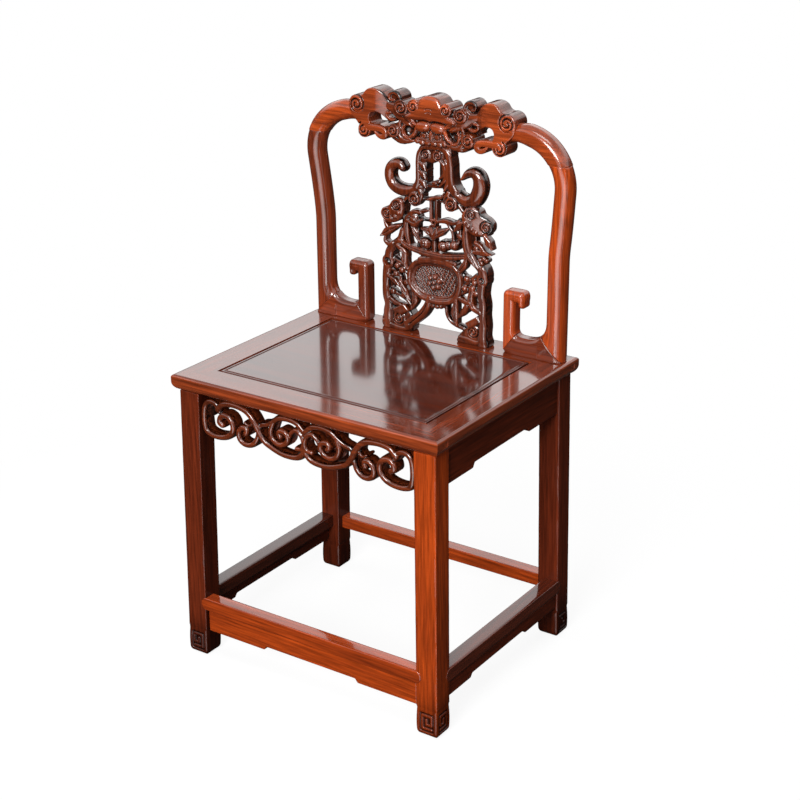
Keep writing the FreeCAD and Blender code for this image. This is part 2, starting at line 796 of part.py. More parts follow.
crest_cuts = []
for side, sign in SIDES:
    half = size("post_wide") / 2
    outer = sign * (POST + half)
    inner = sign * (POST - half)
    arm_end = inner - sign * size("hook_gap")
    hook_near = arm_end - sign * size("hook_long")
    hook_far = hook_near + sign * size("hook_wide")
    bar_top = FLOOR + size("bar_high")

    # post: the arch below the shoulder joint, mitred at its foot
    lower = arches[side].common(slab_between(FLOOR, JOINT))
    mitre_outline = [(outer, FLOOR), (inner, bar_top), (inner, FLOOR)]
    mitre = upright(mitre_outline, FRONT - PAST, size("post_deep") + 2 * PAST)
    post = feature(f"post_shape_{side}", lower.cut(mitre))
    # its foot tenon passes down through the bar into the seat, its top tenon up into the crest
    half_tenon = "back_tenon / 2"
    foot_x = f"{sign} * {POST_MIDDLE}"
    foot = (
        "(seat_height - back_tenon)",
        "(seat_height + bar_high)",
        f"{foot_x} - {half_tenon}",
        f"{foot_x} + {half_tenon}",
        f"{BACK_MIDDLE} - {half_tenon}",
        f"{BACK_MIDDLE} + {half_tenon}",
    )
    joint_face = lower.Faces[0]
    for face in lower.Faces:
        if face.BoundBox.ZMin > JOINT - 0.01:
            joint_face = face
    joint_x = joint_face.CenterOfMass.x
    joint_y = FRONT + size("post_deep") / 2
    pin = feature(f"shoulder_tenon_{side}", square_pin(joint_x, joint_y, 0))
    crest_cuts.append(feature(f"shoulder_mortise_{side}", square_pin(joint_x, joint_y, size("joint_gap"))))
    node(fused(f"post_whole_{side}", [post, block(f"post_tenon_{side}", *foot), pin]), f"back_post_{side}")

    # hook: an upright mitred to the bar, with an arm and a short tip turned towards the post
    tip_in = arm_end - sign * size("hook_tip")
    hook_top = FLOOR + size("hook_high")
    arm_low = hook_top - size("hook_arm_high")
    tip_low = hook_top - size("hook_drop")
    hook_outline = [
        (hook_near, FLOOR),
        (hook_far, bar_top),
        (hook_far, arm_low),
        (tip_in, arm_low),
        (tip_in, tip_low),
        (arm_end, tip_low),
        (arm_end, hook_top),
        (hook_near, hook_top),
    ]
    hook = upright(hook_outline, FRONT, size("bar_deep"))

    def top_corner(edge):
        return edge.BoundBox.ZMin > hook_top - 0.01 and edge.BoundBox.XLength < 0.01

    hook = hook.makeFillet(size("hook_round"), [edge for edge in hook.Edges if top_corner(edge)])
    hook_x = f"{sign} * ({HOOK_NEAR} + hook_wide / 2)"
    hook_tenon = (
        "(seat_height - back_tenon)",
        "(seat_height + bar_high)",
        f"{hook_x} - back_tenon / 3",
        f"{hook_x} + back_tenon / 3",
        f"({BAR_MIDDLE} - back_tenon / 2)",
        f"({BAR_MIDDLE} + back_tenon / 2)",
    )
    hook_parts = [feature(f"hook_shape_{side}", hook), block(f"hook_tenon_{side}", *hook_tenon)]
    node(fused(f"hook_whole_{side}", hook_parts), f"back_hook_{side}")

    # bar: lies on the seat between them, with the two tenons passing through it
    bar_outline = [(outer, FLOOR), (inner, bar_top), (hook_far, bar_top), (hook_near, FLOOR)]
    bar = feature(f"bar_shape_{side}", upright(bar_outline, FRONT, size("bar_deep")))
    holes = [block(f"bar_mortise_post_{side}", *foot, GAP), block(f"bar_mortise_hook_{side}", *hook_tenon, GAP)]
    node(cut(f"bar_cut_{side}", bar, holes), f"back_bar_{side}")
    # the post stands over the mitre, so its mortise is in both members
    for rail in ("back", side):
        rail_cuts[rail].append(block(f"seat_mortise_post_{side}_{rail}", *foot, GAP))
    rail_cuts["back"].append(block(f"seat_mortise_hook_{side}", *hook_tenon, GAP))

# Crest: the two shoulders and a carved board of cloud scrolls round a bat, all one piece.
# Heights are from the middle of the shoulders, and discs are (x, height, radius) with a mirror image of each.
CREST_DISCS = (
    (141, 13, 15),
    (113, 19, 20),
    (129, -28, 11.5),
    (70, 23, 16),
    (53, 16, 12),
    (27, 20, 11),
    (88, -25, 10),
    (70, -20, 11),
    (52, -25, 12),
    (36, -13, 14),
)
CREST_BRIDGE = [(129, -27), (112, -22), (96, -21), (80, -19), (60, -18)]
CREST_BRIDGE_WIDE = 10
BAT_HEAD = [(-30, -18), (-25, -38), (25, -38), (30, -18), (24, 32), (12, 39), (-12, 39), (-24, 32)]
CREST_BAND = [(-140, -17), (140, -17), (140, 17), (-140, 17)]
CREST_HOLE = (107, -6, 8)


def on_crest(points):
    return [(x, CREST + z) for x, z in points]


crest_front = FRONT - size("crest_proud")
crest_faces = [panel_face(on_crest(BAT_HEAD)), panel_face(on_crest(CREST_BAND))]
for side, sign in SIDES:
    for x, z, radius in CREST_DISCS:
        crest_faces.append(disc_face(sign * x, CREST + z, radius))
    bridge = [(sign * x, z) for x, z in on_crest(CREST_BRIDGE)]
    crest_faces.append(even_strand(bridge, CREST_BRIDGE_WIDE))
    x, z, radius = CREST_HOLE
    hole = [disc_face(sign * x, CREST + z, radius)]
    crest_cuts.append(carved(f"crest_hole_{side}", hole, crest_front - PAST, size("crest_deep") + 3 * PAST))
board = carved("crest_board", crest_faces, crest_front, size("crest_deep"))
above_joint = slab_between(JOINT, CREST + size("post_wide"))
shoulders = [feature(f"shoulder_{side}", arches[side].common(above_joint)) for side, _ in SIDES]

# Splat: an openwork board standing on the seat with its top tenoned into the crest.
# Items are (points, widths) strands and (x, height, radius) lobes. Heights are above the seat, and are
# stretched with the height of the whole splat from the one that they are drawn for.
SPLAT_HIGH = 325
HARP = (
    [(0, 316), (-15, 313), (-23, 300), (-24, 280), (-28, 262), (-38, 249), (-52, 243), (-66, 248), (-75, 260),
     (-75, 275), (-66, 286), (-54, 290), (-47, 287)],
    [14, 14, 14, 13, 13, 13, 14, 15, 15, 14, 13, 11, 9],
)
TRUNK = (
    [(-60, 200), (-62, 188), (-67, 174), (-79, 158), (-89, 140), (-91, 118), (-88, 90), (-90, 60), (-88, 34),
     (-90, 10)],
    [12, 13, 14, 16, 19, 19, 17, 18, 19, 20],
)
SPLAT_PAIRS = (
    HARP,
    TRUNK,
    # inner leaf of the harp, and the curl under it
    ([(-27, 268), (-14, 264), (0, 262)], [10, 11, 10]),
    ([(-24, 262), (-26, 248), (-33, 236)], [10, 11, 14]),
    # cloud head, and the stems behind the fruit
    ([(-62, 226), (-74, 214), (-88, 202)], [20, 28, 24]),
    ([(-38, 234), (-50, 226), (-62, 222)], [9, 10, 12]),
    ([(-62, 200), (-40, 205), (-18, 204), (0, 200)], [9, 10, 9, 8]),
    ([(-30, 204), (-24, 186), (-28, 168), (-40, 154)], [10, 9, 9, 10]),
    # leaves outside the trunk
    ([(-66, 178), (-80, 178), (-95, 170)], [12, 14, 7]),
    # branches from the trunk to the cartouche
    ([(-88, 122), (-68, 118), (-48, 104)], [10, 12, 10]),
    ([(-88, 62), (-66, 68), (-42, 76)], [10, 12, 12]),
    ([(-46, 152), (-52, 136), (-44, 116)], [10, 12, 10]),
    # cloud foot and the branch from it up to the cartouche
    ([(-86, 20), (-70, 22), (-52, 20), (-34, 27), (-18, 42), (-7, 68)], [22, 26, 20, 12, 10, 10]),
)
SPLAT_SINGLES = (
    # bar and plate above the fruit stand, its stem, and the boat-shaped tray
    ([(-34, 238), (0, 238), (34, 238)], [6, 6, 6]),
    ([(2, 240), (2, 220), (2, 196)], [13, 13, 13]),
    ([(2, 200), (2, 176), (2, 150)], [12, 14, 16]),
    ([(-60, 157), (-32, 149), (0, 146), (32, 149), (60, 157)], [8, 9, 10, 9, 8]),
    ([(-30, 132), (0, 134), (34, 132)], [7, 8, 7]),
)
SPLAT_LOBES = (
    (-33, 233, 11),
    (35, 233, 11),
    (-14, 164, 11),
    (20, 164, 11),
    (38, 168, 9),
    (-88, 120, 11),
    (90, 120, 11),
)
CARTOUCHE = [(-30, 132), (34, 132), (52, 114), (52, 82), (34, 66), (-30, 66), (-48, 82), (-48, 114)]
# feet sawn flat on the seat, and a flat top against the crest
SPLAT_FOOT = [(-98, 0), (-58, 0), (-58, 14), (-98, 14)]
SPLAT_TOP = [(-16, 317), (16, 317), (16, SPLAT_HIGH), (-16, SPLAT_HIGH)]


def above_seat(points):
    stretch = (size("crest_middle") - size("crest_drop")) / SPLAT_HIGH
    return [(x, FLOOR + z * stretch) for x, z in points]


splat_panels = (CARTOUCHE, SPLAT_TOP, SPLAT_FOOT, mirrored(SPLAT_FOOT))
splat_faces = [panel_face(above_seat(points)) for points in splat_panels]
for points, widths in SPLAT_PAIRS:
    splat_faces.append(strand(above_seat(points), widths))
    splat_faces.append(strand(mirrored(above_seat(points)), widths))
for points, widths in SPLAT_SINGLES:
    splat_faces.append(strand(above_seat(points), widths))
for x, z, radius in SPLAT_LOBES:
    [(_, height)] = above_seat([(x, z)])
    splat_faces.append(disc_face(x, height, radius))
sawn = carved("splat_sawn", splat_faces, FRONT - size("splat_proud"), size("splat_deep"))
# strands that reach past the seat or the crest are trimmed flat there
all_over = ("-seat_width", "seat_width", "-seat_depth", "seat_depth")
trims = [
    block("splat_trim_low", UNDER, "seat_height", *all_over),
    block("splat_trim_top", CREST_UNDER, f"({CREST_UNDER} + crest_drop)", *all_over),
]
splat_pieces = [cut("splat_trimmed", sawn, trims)]
foot_middle = (SPLAT_FOOT[0][0] + SPLAT_FOOT[1][0]) / 2
for side, sign in SIDES:
    foot_x = f"{-sign} * ({foot_middle})"
    tenon = (
        "(seat_height - back_tenon)",
        "(seat_height + splat_tenon_root)",
        f"{foot_x} - back_tenon / 2",
        f"{foot_x} + back_tenon / 2",
        f"{SPLAT_MIDDLE} - back_tenon / 3",
        f"{SPLAT_MIDDLE} + back_tenon / 3",
    )
    splat_pieces.append(block(f"splat_tenon_{side}", *tenon))
    rail_cuts["back"].append(block(f"seat_mortise_splat_{side}", *tenon, GAP))
top_tenon = (
    f"({CREST_UNDER} - splat_tenon_root)",
    f"({CREST_UNDER} + back_tenon)",
    "-back_tenon",
    "back_tenon",
    f"{SPLAT_MIDDLE} - back_tenon / 3",
    f"{SPLAT_MIDDLE} + back_tenon / 3",
)
splat_pieces.append(block("splat_top_tenon", *top_tenon))
crest_cuts.append(block("crest_mortise", *top_tenon, GAP))
node(fused("splat_whole", splat_pieces), "back_splat")
node(cut("crest_cut", fused("crest_whole", [board, *shoulders]), crest_cuts), "crest_rail")

# The seat frame's members, with every mortise that the other pieces ask for
for place, pieces in rails.items():
    whole = pieces[0] if len(pieces) == 1 else fused(f"rail_whole_{place}", pieces)
    node(cut(f"rail_cut_{place}", whole, rail_cuts[place]), f"seat_rail_{place}")

doc.recompute()

for thing in doc.Objects:
    bad = [state for state in thing.State if state in ("Invalid", "Error")]
    if bad:
        raise RuntimeError(f"{thing.Name} failed: {bad}")
for thing in nodes:
    shape = thing.Shape
    if shape.isNull() or not shape.isValid() or len(shape.Solids) != 1:
        raise RuntimeError(f"{thing.Label} is not one valid solid: {len(shape.Solids)} solids")

os.makedirs("parts", exist_ok=True)
for thing in nodes:
    thing.Shape.exportStep(f"parts/{thing.Label}.step")
print(f"{len(nodes)} sub-parts written")
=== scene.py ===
"""Looks of the carved hardwood side chair. Shapes are drawn in millimetres in the CAD frame and made in metres."""
import math

import bpy
import numpy as np
import openvdb
from mathutils import Matrix, Vector


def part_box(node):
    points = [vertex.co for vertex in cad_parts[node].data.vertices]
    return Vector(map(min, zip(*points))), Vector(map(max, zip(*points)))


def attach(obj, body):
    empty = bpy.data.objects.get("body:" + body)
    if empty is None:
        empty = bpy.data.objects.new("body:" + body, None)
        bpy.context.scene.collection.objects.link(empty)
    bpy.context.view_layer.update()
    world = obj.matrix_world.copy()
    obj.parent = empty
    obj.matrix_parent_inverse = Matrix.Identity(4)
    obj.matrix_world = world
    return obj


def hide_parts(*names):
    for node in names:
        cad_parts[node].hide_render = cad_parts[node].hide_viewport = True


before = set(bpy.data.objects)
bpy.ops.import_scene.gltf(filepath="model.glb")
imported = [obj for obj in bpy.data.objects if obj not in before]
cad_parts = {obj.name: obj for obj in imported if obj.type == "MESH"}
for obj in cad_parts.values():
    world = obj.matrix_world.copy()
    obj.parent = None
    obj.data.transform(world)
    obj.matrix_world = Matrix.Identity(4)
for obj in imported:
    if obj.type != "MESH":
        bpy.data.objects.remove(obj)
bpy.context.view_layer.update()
scene = bpy.context.scene
scene.view_settings.view_transform = "Standard"
MM = 0.001
FAR = 60.0


def span(node):
    """Lowest and highest corners of a CAD node, in millimetres."""
    low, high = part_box(node)
    return np.array(low) / MM, np.array(high) / MM


SIDES = (("left", -1), ("right", 1))
SEAT = span("seat_panel")[1][2]
UNDER_SEAT = span("seat_rail_front")[0][2]

# Camera, fitted to the edges of the chair in the photograph
CAMERA_AT = Vector((1.4511, -2.0626, 1.4533))
CAMERA_YAW = math.radians(34.308)
CAMERA_PITCH = math.radians(21.883)
CAMERA_ROLL = math.radians(-0.436)
CAMERA_LENS, CAMERA_SENSOR = 76.01, 36


def make_camera():
    """The photograph's view of the chair."""
    data = bpy.data.cameras.new("camera")
    data.lens = CAMERA_LENS
    data.sensor_width = CAMERA_SENSOR
    camera = bpy.data.objects.new("camera", data)
    scene.collection.objects.link(camera)
    turn = Matrix.Rotation(CAMERA_YAW, 4, "Z") @ Matrix.Rotation(math.pi / 2 - CAMERA_PITCH, 4, "X")
    camera.matrix_world = Matrix.Translation(CAMERA_AT) @ turn @ Matrix.Rotation(CAMERA_ROLL, 4, "Z")
    scene.camera = camera


# Stage: a white floor that keeps a soft shadow, a studio world and soft lamps
def builder(tree):
    """A function that adds a node to a tree and gives its outputs. Inputs are values, or outputs to link to."""
    def new(kind, inputs=(), **settings):
        made = tree.nodes.new(f"ShaderNode{kind}")
        for name, value in settings.items():
            setattr(made, name, value)
        for name, value in dict(inputs).items():
            if isinstance(value, bpy.types.NodeSocket):
                tree.links.new(value, made.inputs[name])
            else:
                made.inputs[name].default_value = value
        return made.outputs
    return new


def shades(new, value, *stops):
    """Colours that follow a value, each given with its place."""
    colour = new("ValToRGB", {"Fac": value})["Color"]
    steps = colour.node.color_ramp.elements
    for position, _ in stops[2:]:
        steps.new(position)
    for step, (position, shade) in zip(steps, stops):
        step.position = position
        step.color = (*shade, 1)
    return colour


WHITE = (1, 1, 1)
# places and colours of the mirrored studio, from straight down at 0 to straight up at 1
SKY = ((0.47, (0.02, 0.018, 0.016)), (0.625, (0.08, 0.08, 0.08)), (0.665, WHITE), (0.77, WHITE),
       (0.86, (0.45, 0.45, 0.45)))
SKY_STRENGTH, FILL_STRENGTH = 2.15, 0.06
# direction of the lit patch, and the angles from its middle at which it is brightest and ends
PATCH_TOWARDS = (0.161, -0.913, -0.375)
PATCH_INNER, PATCH_OUTER, PATCH_STRENGTH = math.radians(2), math.radians(28), 7


def make_world():
    """White for what is seen directly, an even fill light, and for what is mirrored a bright band above the horizon
    and a lit patch of floor to the front right."""
    world = bpy.data.worlds.new("studio")
    scene.world = world
    world.use_nodes = True
    world.node_tree.nodes.clear()
    new = builder(world.node_tree)
    path = new("LightPath")
    place = new("TexCoord")["Generated"]
    up = new("SeparateXYZ", {0: place})["Z"]
    height = new("Math", {0: up, 1: 0.5, 2: 0.5}, operation="MULTIPLY_ADD")[0]
    sky = new("Background", {"Color": shades(new, height, *SKY), "Strength": SKY_STRENGTH})[0]
    ahead = new("VectorMath", {0: place, 1: PATCH_TOWARDS}, operation="DOT_PRODUCT")["Value"]
    span_of_patch = {"From Min": math.cos(PATCH_OUTER), "From Max": math.cos(PATCH_INNER), "To Max": PATCH_STRENGTH}
    patch = new("MapRange", {"Value": ahead, **span_of_patch})[0]
    mirrored = new("AddShader", {0: sky, 1: new("Background", {"Strength": patch})[0]})[0]
    fill = new("Background", {"Strength": FILL_STRENGTH})[0]
    either = new("Math", {0: path["Is Glossy Ray"], 1: path["Is Transmission Ray"]}, operation="MAXIMUM")[0]
    light = new("MixShader", {"Fac": either, 1: fill, 2: mirrored})[0]
    seen = new("Background", {"Color": (*WHITE, 1)})[0]
    both = new("MixShader", {"Fac": path["Is Camera Ray"], 1: light, 2: seen})[0]
    new("OutputWorld", {"Surface": both})


FLOOR_REACH = 30.0
FLOOR_PALE, FLOOR_BOUNCE = (0.9, 0.9, 0.9, 1), (0.12, 0.115, 0.11, 1)
# the floor's own glow under the chair and further off, which leaves room for the shadow, and those distances
GLOW = {"From Min": 0.3, "From Max": 1.1, "To Min": 0.9, "To Max": 1.0}


def make_floor():
    """White to the camera, and to the light a dull floor that throws little back at the chair."""
    mesh = bpy.data.meshes.new("floor")
    corners = [(FLOOR_REACH * x, FLOOR_REACH * y, 0) for x, y in ((-1, -1), (1, -1), (1, 1), (-1, 1))]
    mesh.from_pydata(corners, [], [(0, 1, 2, 3)])
    floor = bpy.data.objects.new("floor", mesh)
    scene.collection.objects.link(floor)
    floor.visible_glossy = False
    material = bpy.data.materials.new("floor_white")
    material.use_nodes = True
    material.node_tree.nodes.clear()
    new = builder(material.node_tree)
    apart = new("VectorMath", {0: new("TexCoord")["Object"]}, operation="LENGTH")["Value"]
    share = new("MapRange", {"Value": apart, **GLOW})[0]
    pale = new("BsdfDiffuse", {"Color": FLOOR_PALE})[0]
    lit = new("MixShader", {"Fac": share, 1: pale, 2: new("Emission")[0]})[0]
    bounce = new("BsdfDiffuse", {"Color": FLOOR_BOUNCE})[0]
    both = new("MixShader", {"Fac": new("LightPath")["Is Camera Ray"], 1: bounce, 2: lit})[0]
    new("OutputMaterial", {"Surface": both})
    mesh.materials.append(material)


def make_lamp(name, place, target, width, height, power, mirrored=True):
    """A soft lamp that the camera doesn't see, and that polished wood mirrors or not."""
    data = bpy.data.lights.new(name, "AREA")
    data.shape = "RECTANGLE"
    data.size = width
    data.size_y = height
    data.energy = power
    lamp = bpy.data.objects.new(name, data)
    scene.collection.objects.link(lamp)
    lamp.location = place
    lamp.visible_camera = False
    lamp.visible_glossy = mirrored
    lamp.rotation_mode = "QUATERNION"
    lamp.rotation_quaternion = (Vector(target) - Vector(place)).to_track_quat("-Z", "Y")


# Wood
TONES = {
    # lighter and darker colour of the grain
    "orange": ((0.44, 0.060, 0.007), (0.17, 0.021, 0.004)),
    "red": ((0.33, 0.054, 0.012), (0.10, 0.016, 0.005)),
    "dull": ((0.21, 0.034, 0.010), (0.07, 0.011, 0.004)),
    "brown": ((0.135, 0.020, 0.006), (0.055, 0.009, 0.0035)),
    "carved": ((0.15, 0.025, 0.006), (0.035, 0.006, 0.002)),
    "crest": ((0.18, 0.031, 0.008), (0.055, 0.010, 0.004)),
    "panel": ((0.11, 0.017, 0.006), (0.027, 0.005, 0.003)),
    "amber": ((0.40, 0.060, 0.010), (0.14, 0.020, 0.005)),
    # painted shade: a darker copy for the inward-facing pieces that stand in shade
    "umber": ((0.075, 0.012, 0.004), (0.03, 0.005, 0.002)),
    "tendril": ((0.15, 0.026, 0.007), (0.05, 0.009, 0.003)),
}
FINISHES = {
    # base roughness and specular level, coat and coat roughness
    "polished": (0.2, 0.04, 0.8, 0.07),
    "satin": (0.3, 0.06, 1.0, 0.13),
    "shoulder": (0.3, 0.04, 1.0, 0.15),
    "waxed": (0.35, 0.03, 0.3, 0.18),
    "carved": (0.3, 0.1, 1.0, 0.07),
    "crest": (0.3, 0.03, 0.8, 0.08),
    "seat": (0.2, 0.04, 1.0, 0.1),
}
ALONG_GRAIN = 0.05
GRAIN_DARK, GRAIN_LIGHT = 0.24, 0.68
FIGURE = {"Scale": 55, "Detail": 6, "Roughness": 0.6, "Distortion": 0.8}
STREAKS = {"Scale": 330, "Detail": 3}
STREAK_SHADE = {"From Min": 0.3, "From Max": 0.7, "To Min": 0.6, "To Max": 1.2}
STREAK_GLOSS = (-0.06, 0.08)
STREAK_BUMP = {"Strength": 0.05, "Distance": 0.0004}
RINGS = {"Scale": 75, "Distortion": 9, "Detail": 3, "Detail Scale": 0.5}
RING_SHADE = {"To Min": 1.08, "To Max": 0.8}
# painted light: painted highlights on ridges are marked down to this much below zero, and painted shade in hollows up
# to one
RIDGE_HIGHLIGHT = 0.6
# how much painted highlights lighten the wood and painted shade darkens it
PAINTED_LIGHT_SCALE = {"From Min": -RIDGE_HIGHLIGHT, "To Min": 1.6, "To Max": 0.04}
SEAT_TOP = {"From Min": (SEAT - 2.2) * MM, "From Max": (SEAT - 0.4) * MM}


def wood(name, shift, grain, tone, finish, plain=None):
    """Lacquered hardwood whose grain runs along one axis, with painted shade and painted highlights marked on the mesh:
    darker in carved recesses and shaded parts of the legs, lighter on carved ridges.

    Where the mesh is marked as plain, or on the top of the seat, the wood has the plain tone."""
    material = bpy.data.materials.new(name)
    material.use_nodes = True
    tree = material.node_tree
    new = builder(tree)
    roughness, specular, coat, coat_roughness = FINISHES[finish]
    place = new("TexCoord")["Object"]
    scale = [ALONG_GRAIN if axis == grain else 1.0 for axis in "XYZ"]
    along = new("Mapping", {"Vector": place, "Location": shift, "Scale": scale})[0]
    figure = new("TexNoise", {"Vector": along, **FIGURE})["Fac"]

    def grained(light, dark):
        return shades(new, figure, (GRAIN_DARK, dark), (GRAIN_LIGHT, light))

    colour = grained(*TONES[tone])
    if plain is not None:
        if finish == "seat":
            marked = new("MapRange", {"Value": new("SeparateXYZ", {0: place})["Z"], **SEAT_TOP})[0]
        else:
            marked = new("Attribute", attribute_name="plain")["Fac"]
        tones = {"Factor": marked, "A": colour, "B": grained(*TONES[plain])}
        colour = new("Mix", tones, data_type="RGBA")["Result"]
    streaks = new("TexNoise", {"Vector": along, **STREAKS})["Fac"]
    rings = new("TexWave", {"Vector": along, **RINGS}, bands_direction="DIAGONAL", wave_profile="SAW")["Fac"]
    # painted shade and painted highlights, read from the mesh
    recess = new("Attribute", attribute_name="recess")["Fac"]
    shade = new("MapRange", {"Value": streaks, **STREAK_SHADE})[0]
    for value, limits in ((rings, RING_SHADE), (recess, PAINTED_LIGHT_SCALE)):
        shade = new("Math", {0: shade, 1: new("MapRange", {"Value": value, **limits})[0]}, operation="MULTIPLY")[0]
    shaded = {"Factor": 1.0, "A": colour, "B": shade}
    gloss = {"To Min": roughness + STREAK_GLOSS[0], "To Max": roughness + STREAK_GLOSS[1]}
    shader = tree.nodes["Principled BSDF"].inputs
    for socket, output in (
        ("Base Color", new("Mix", shaded, data_type="RGBA", blend_type="MULTIPLY")["Result"]),
        ("Roughness", new("MapRange", {"Value": streaks, **gloss})[0]),
        ("Normal", new("Bump", {"Height": streaks, **STREAK_BUMP})[0]),
    ):
        tree.links.new(output, shader[socket])
    shader["Specular IOR Level"].default_value = specular
    shader["Coat Weight"].default_value = coat
    shader["Coat Roughness"].default_value = coat_roughness
    return material


# Solid shapes as distance fields, below zero inside
MARGIN = 4
ADAPTIVITY = 0.02


def grid_over(low, high, step):
    """Coordinate arrays over a box with a margin, and its first corner."""
    low = np.array(low, float) - MARGIN * step
    counts = np.ceil((np.array(high, float) + MARGIN * step - low) / step).astype(int) + 1
    x, y, z = (low[k] + step * np.arange(counts[k]) for k in range(3))
    return x[:, None, None], y[None, :, None], z[None, None, :], low


def rounded(first, second, radius):
    """Where both distances are below zero, with the edge between them rounded."""
    a = np.maximum(first + radius, 0)
    b = np.maximum(second + radius, 0)
    return np.hypot(a, b) + np.minimum(np.maximum(first, second) + radius, 0) - radius


def blended(first, second, reach):
    """Where either distance is below zero, with a fillet in the corner between them."""
    near = np.maximum(reach - np.abs(first - second), 0) / reach
    return np.minimum(first, second) - near * near * reach / 4


def between(value, low, high):
    """Distance outside a stretch, below zero in it."""
    return np.maximum(low - value, value - high)


def eased(value, start, end):
    """Zero up to the start and one from the end, with a smooth change between them."""
    t = np.clip((value - start) / (end - start), 0, 1)
    return t * t * (3 - 2 * t)


def surface(field, low, step, adaptivity=ADAPTIVITY):
    """Points in millimetres and faces of the surface where a field is zero."""
    grid = openvdb.FloatGrid(MARGIN * step)
    grid.copyFromArray(np.clip(field, -MARGIN * step, MARGIN * step).astype(np.float32))
    points, triangles, quads = grid.convertToPolygons(isovalue=0.0, adaptivity=adaptivity)
    faces = [tuple(f[::-1]) for f in triangles.tolist()] + [tuple(f[::-1]) for f in quads.tolist()]
    return np.asarray(points, float) * step + low, faces


def thinned(points, faces, most):
    """The same surface with at most so many triangles, fewest where it is flat."""
    mesh = bpy.data.meshes.new("thinned")
    mesh.from_pydata(points, [], faces)
    thing = bpy.data.objects.new("thinned", mesh)
    scene.collection.objects.link(thing)
    modifier = thing.modifiers.new("thin", "DECIMATE")
    modifier.ratio = min(most / sum(len(face) - 2 for face in faces), 1)
    found = bpy.data.meshes.new_from_object(thing.evaluated_get(bpy.context.evaluated_depsgraph_get()))
    places = np.empty(3 * len(found.vertices), np.float32)
    found.vertices.foreach_get("co", places)
    kept = [tuple(face.vertices) for face in found.polygons]
    bpy.data.objects.remove(thing)
    for used in (mesh, found):
        bpy.data.meshes.remove(used)
    return places.reshape(-1, 3).astype(float), kept


def piece(name, shapes, slot, *more, **marks):
    """One object made of surfaces, standing for the CAD node of the same name. Marks are values at its points.

    The first surface has the node's own material, and the next ones those in more, the last of them for the rest."""
    looks = (materials[name], *more)
    mesh = bpy.data.meshes.new(name)
    points, faces, places = [], [], []
    for order, (shape_points, shape_faces) in enumerate(shapes):
        start = sum(len(p) for p in points)
        points.append(shape_points)
        faces += [tuple(k + start for k in face) for face in shape_faces]
        places += [min(order, len(looks) - 1)] * len(shape_faces)
    mesh.from_pydata(np.concatenate(points) * MM, [], faces)
    for look in looks:
        mesh.materials.append(look)
    mesh.polygons.foreach_set("material_index", np.array(places, np.int32))
    mesh.validate()
    mesh.polygons.foreach_set("use_smooth", np.ones(len(mesh.polygons), bool))
    for mark, values in marks.items():
        attribute = mesh.attributes.new(mark, "FLOAT", "POINT")
        attribute.data.foreach_set("value", np.asarray(values, np.float32))
    thing = bpy.data.objects.new(f"{name}_look", mesh)
    scene.collection.objects.link(thing)
    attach(thing, "root")
    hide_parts(name)


# Lines
CURVE_SPACING, LOOP_SPACING = 1.5, 2.0
BEND_STEPS = 30


def cubic(knots, spacing):
    """Close points on a smooth curve through knots, from the second up to the last but one."""
    found = []
    for a, b, c, d in zip(knots, knots[1:], knots[2:], knots[3:]):
        count = max(int(np.hypot(*(c - b)) / spacing), 2)
        t = np.linspace(0, 1, count, endpoint=False)[:, None]
        found.append(0.5 * (2 * b + (c - a) * t + (2 * a - 5 * b + 4 * c - d) * t**2 + (3 * b - a - 3 * c + d) * t**3))
    return np.vstack(found)


def smooth(points):
    """A curve through points."""
    points = np.array(points, float)
    knots = [2 * points[0] - points[1], *points, 2 * points[-1] - points[-2]]
    return np.vstack([cubic(knots, CURVE_SPACING), points[-1:]])


def smooth_loop(points):
    """A closed curve through points."""
    points = np.array(points, float)
    return cubic([points[-1], *points, *points[:2]], LOOP_SPACING)


def bent_line(corners, radii):
    """Straight runs joined by arcs, as points."""
    corners = [np.array(c, float) for c in corners]
    points = [corners[0]]
    for before, corner, after, radius in zip(corners, corners[1:], corners[2:], radii):
        a = (before - corner) / np.hypot(*(before - corner))
        b = (after - corner) / np.hypot(*(after - corner))
        half = math.acos(np.clip(a @ b, -1, 1)) / 2
        centre = corner + (a + b) / np.hypot(*(a + b)) * radius / math.sin(half)
        first = corner + a * radius / math.tan(half) - centre
        last = corner + b * radius / math.tan(half) - centre
        start = math.atan2(first[1], first[0])
        turn = (math.atan2(last[1], last[0]) - start + math.pi) % (2 * math.pi) - math.pi
        for t in np.linspace(0, 1, BEND_STEPS):
            angle = start + turn * t
            points.append(centre + radius * np.array((math.cos(angle), math.sin(angle))))
    points.append(corners[-1])
    return np.array(points)


def line_distance(x, z, line):
    """Distance to a line of points."""
    away = None
    for (ax, az), (bx, bz) in zip(line, line[1:]):
        ex, ez = bx - ax, bz - az
        t = np.clip(((x - ax) * ex + (z - az) * ez) / max(ex * ex + ez * ez, 1e-9), 0, 1)
        found = (x - ax - t * ex) ** 2 + (z - az - t * ez) ** 2
        away = found if away is None else np.minimum(away, found)
    return np.sqrt(away)


def outline_distance(x, z, loop):
    """Distance to a closed outline, below zero inside it."""
    loop = np.asarray(loop, float)
    closed = np.vstack([loop, loop[:1]])
    inside = np.zeros(np.broadcast(x, z).shape, bool)
    for (ax, az), (bx, bz) in zip(closed, closed[1:]):
        if az != bz:
            inside ^= ((az > z) != (bz > z)) & (x < ax + (z - az) * (bx - ax) / (bz - az))
    return np.where(inside, -1, 1) * line_distance(x, z, closed)


# Carving: an outline, a front surface and a back surface over one board
STEP = 0.7
PAD = 5 * STEP
FRINGE = 1.5 * STEP
CARVED_EDGE, CARVED_MOST = 1.2, 160000
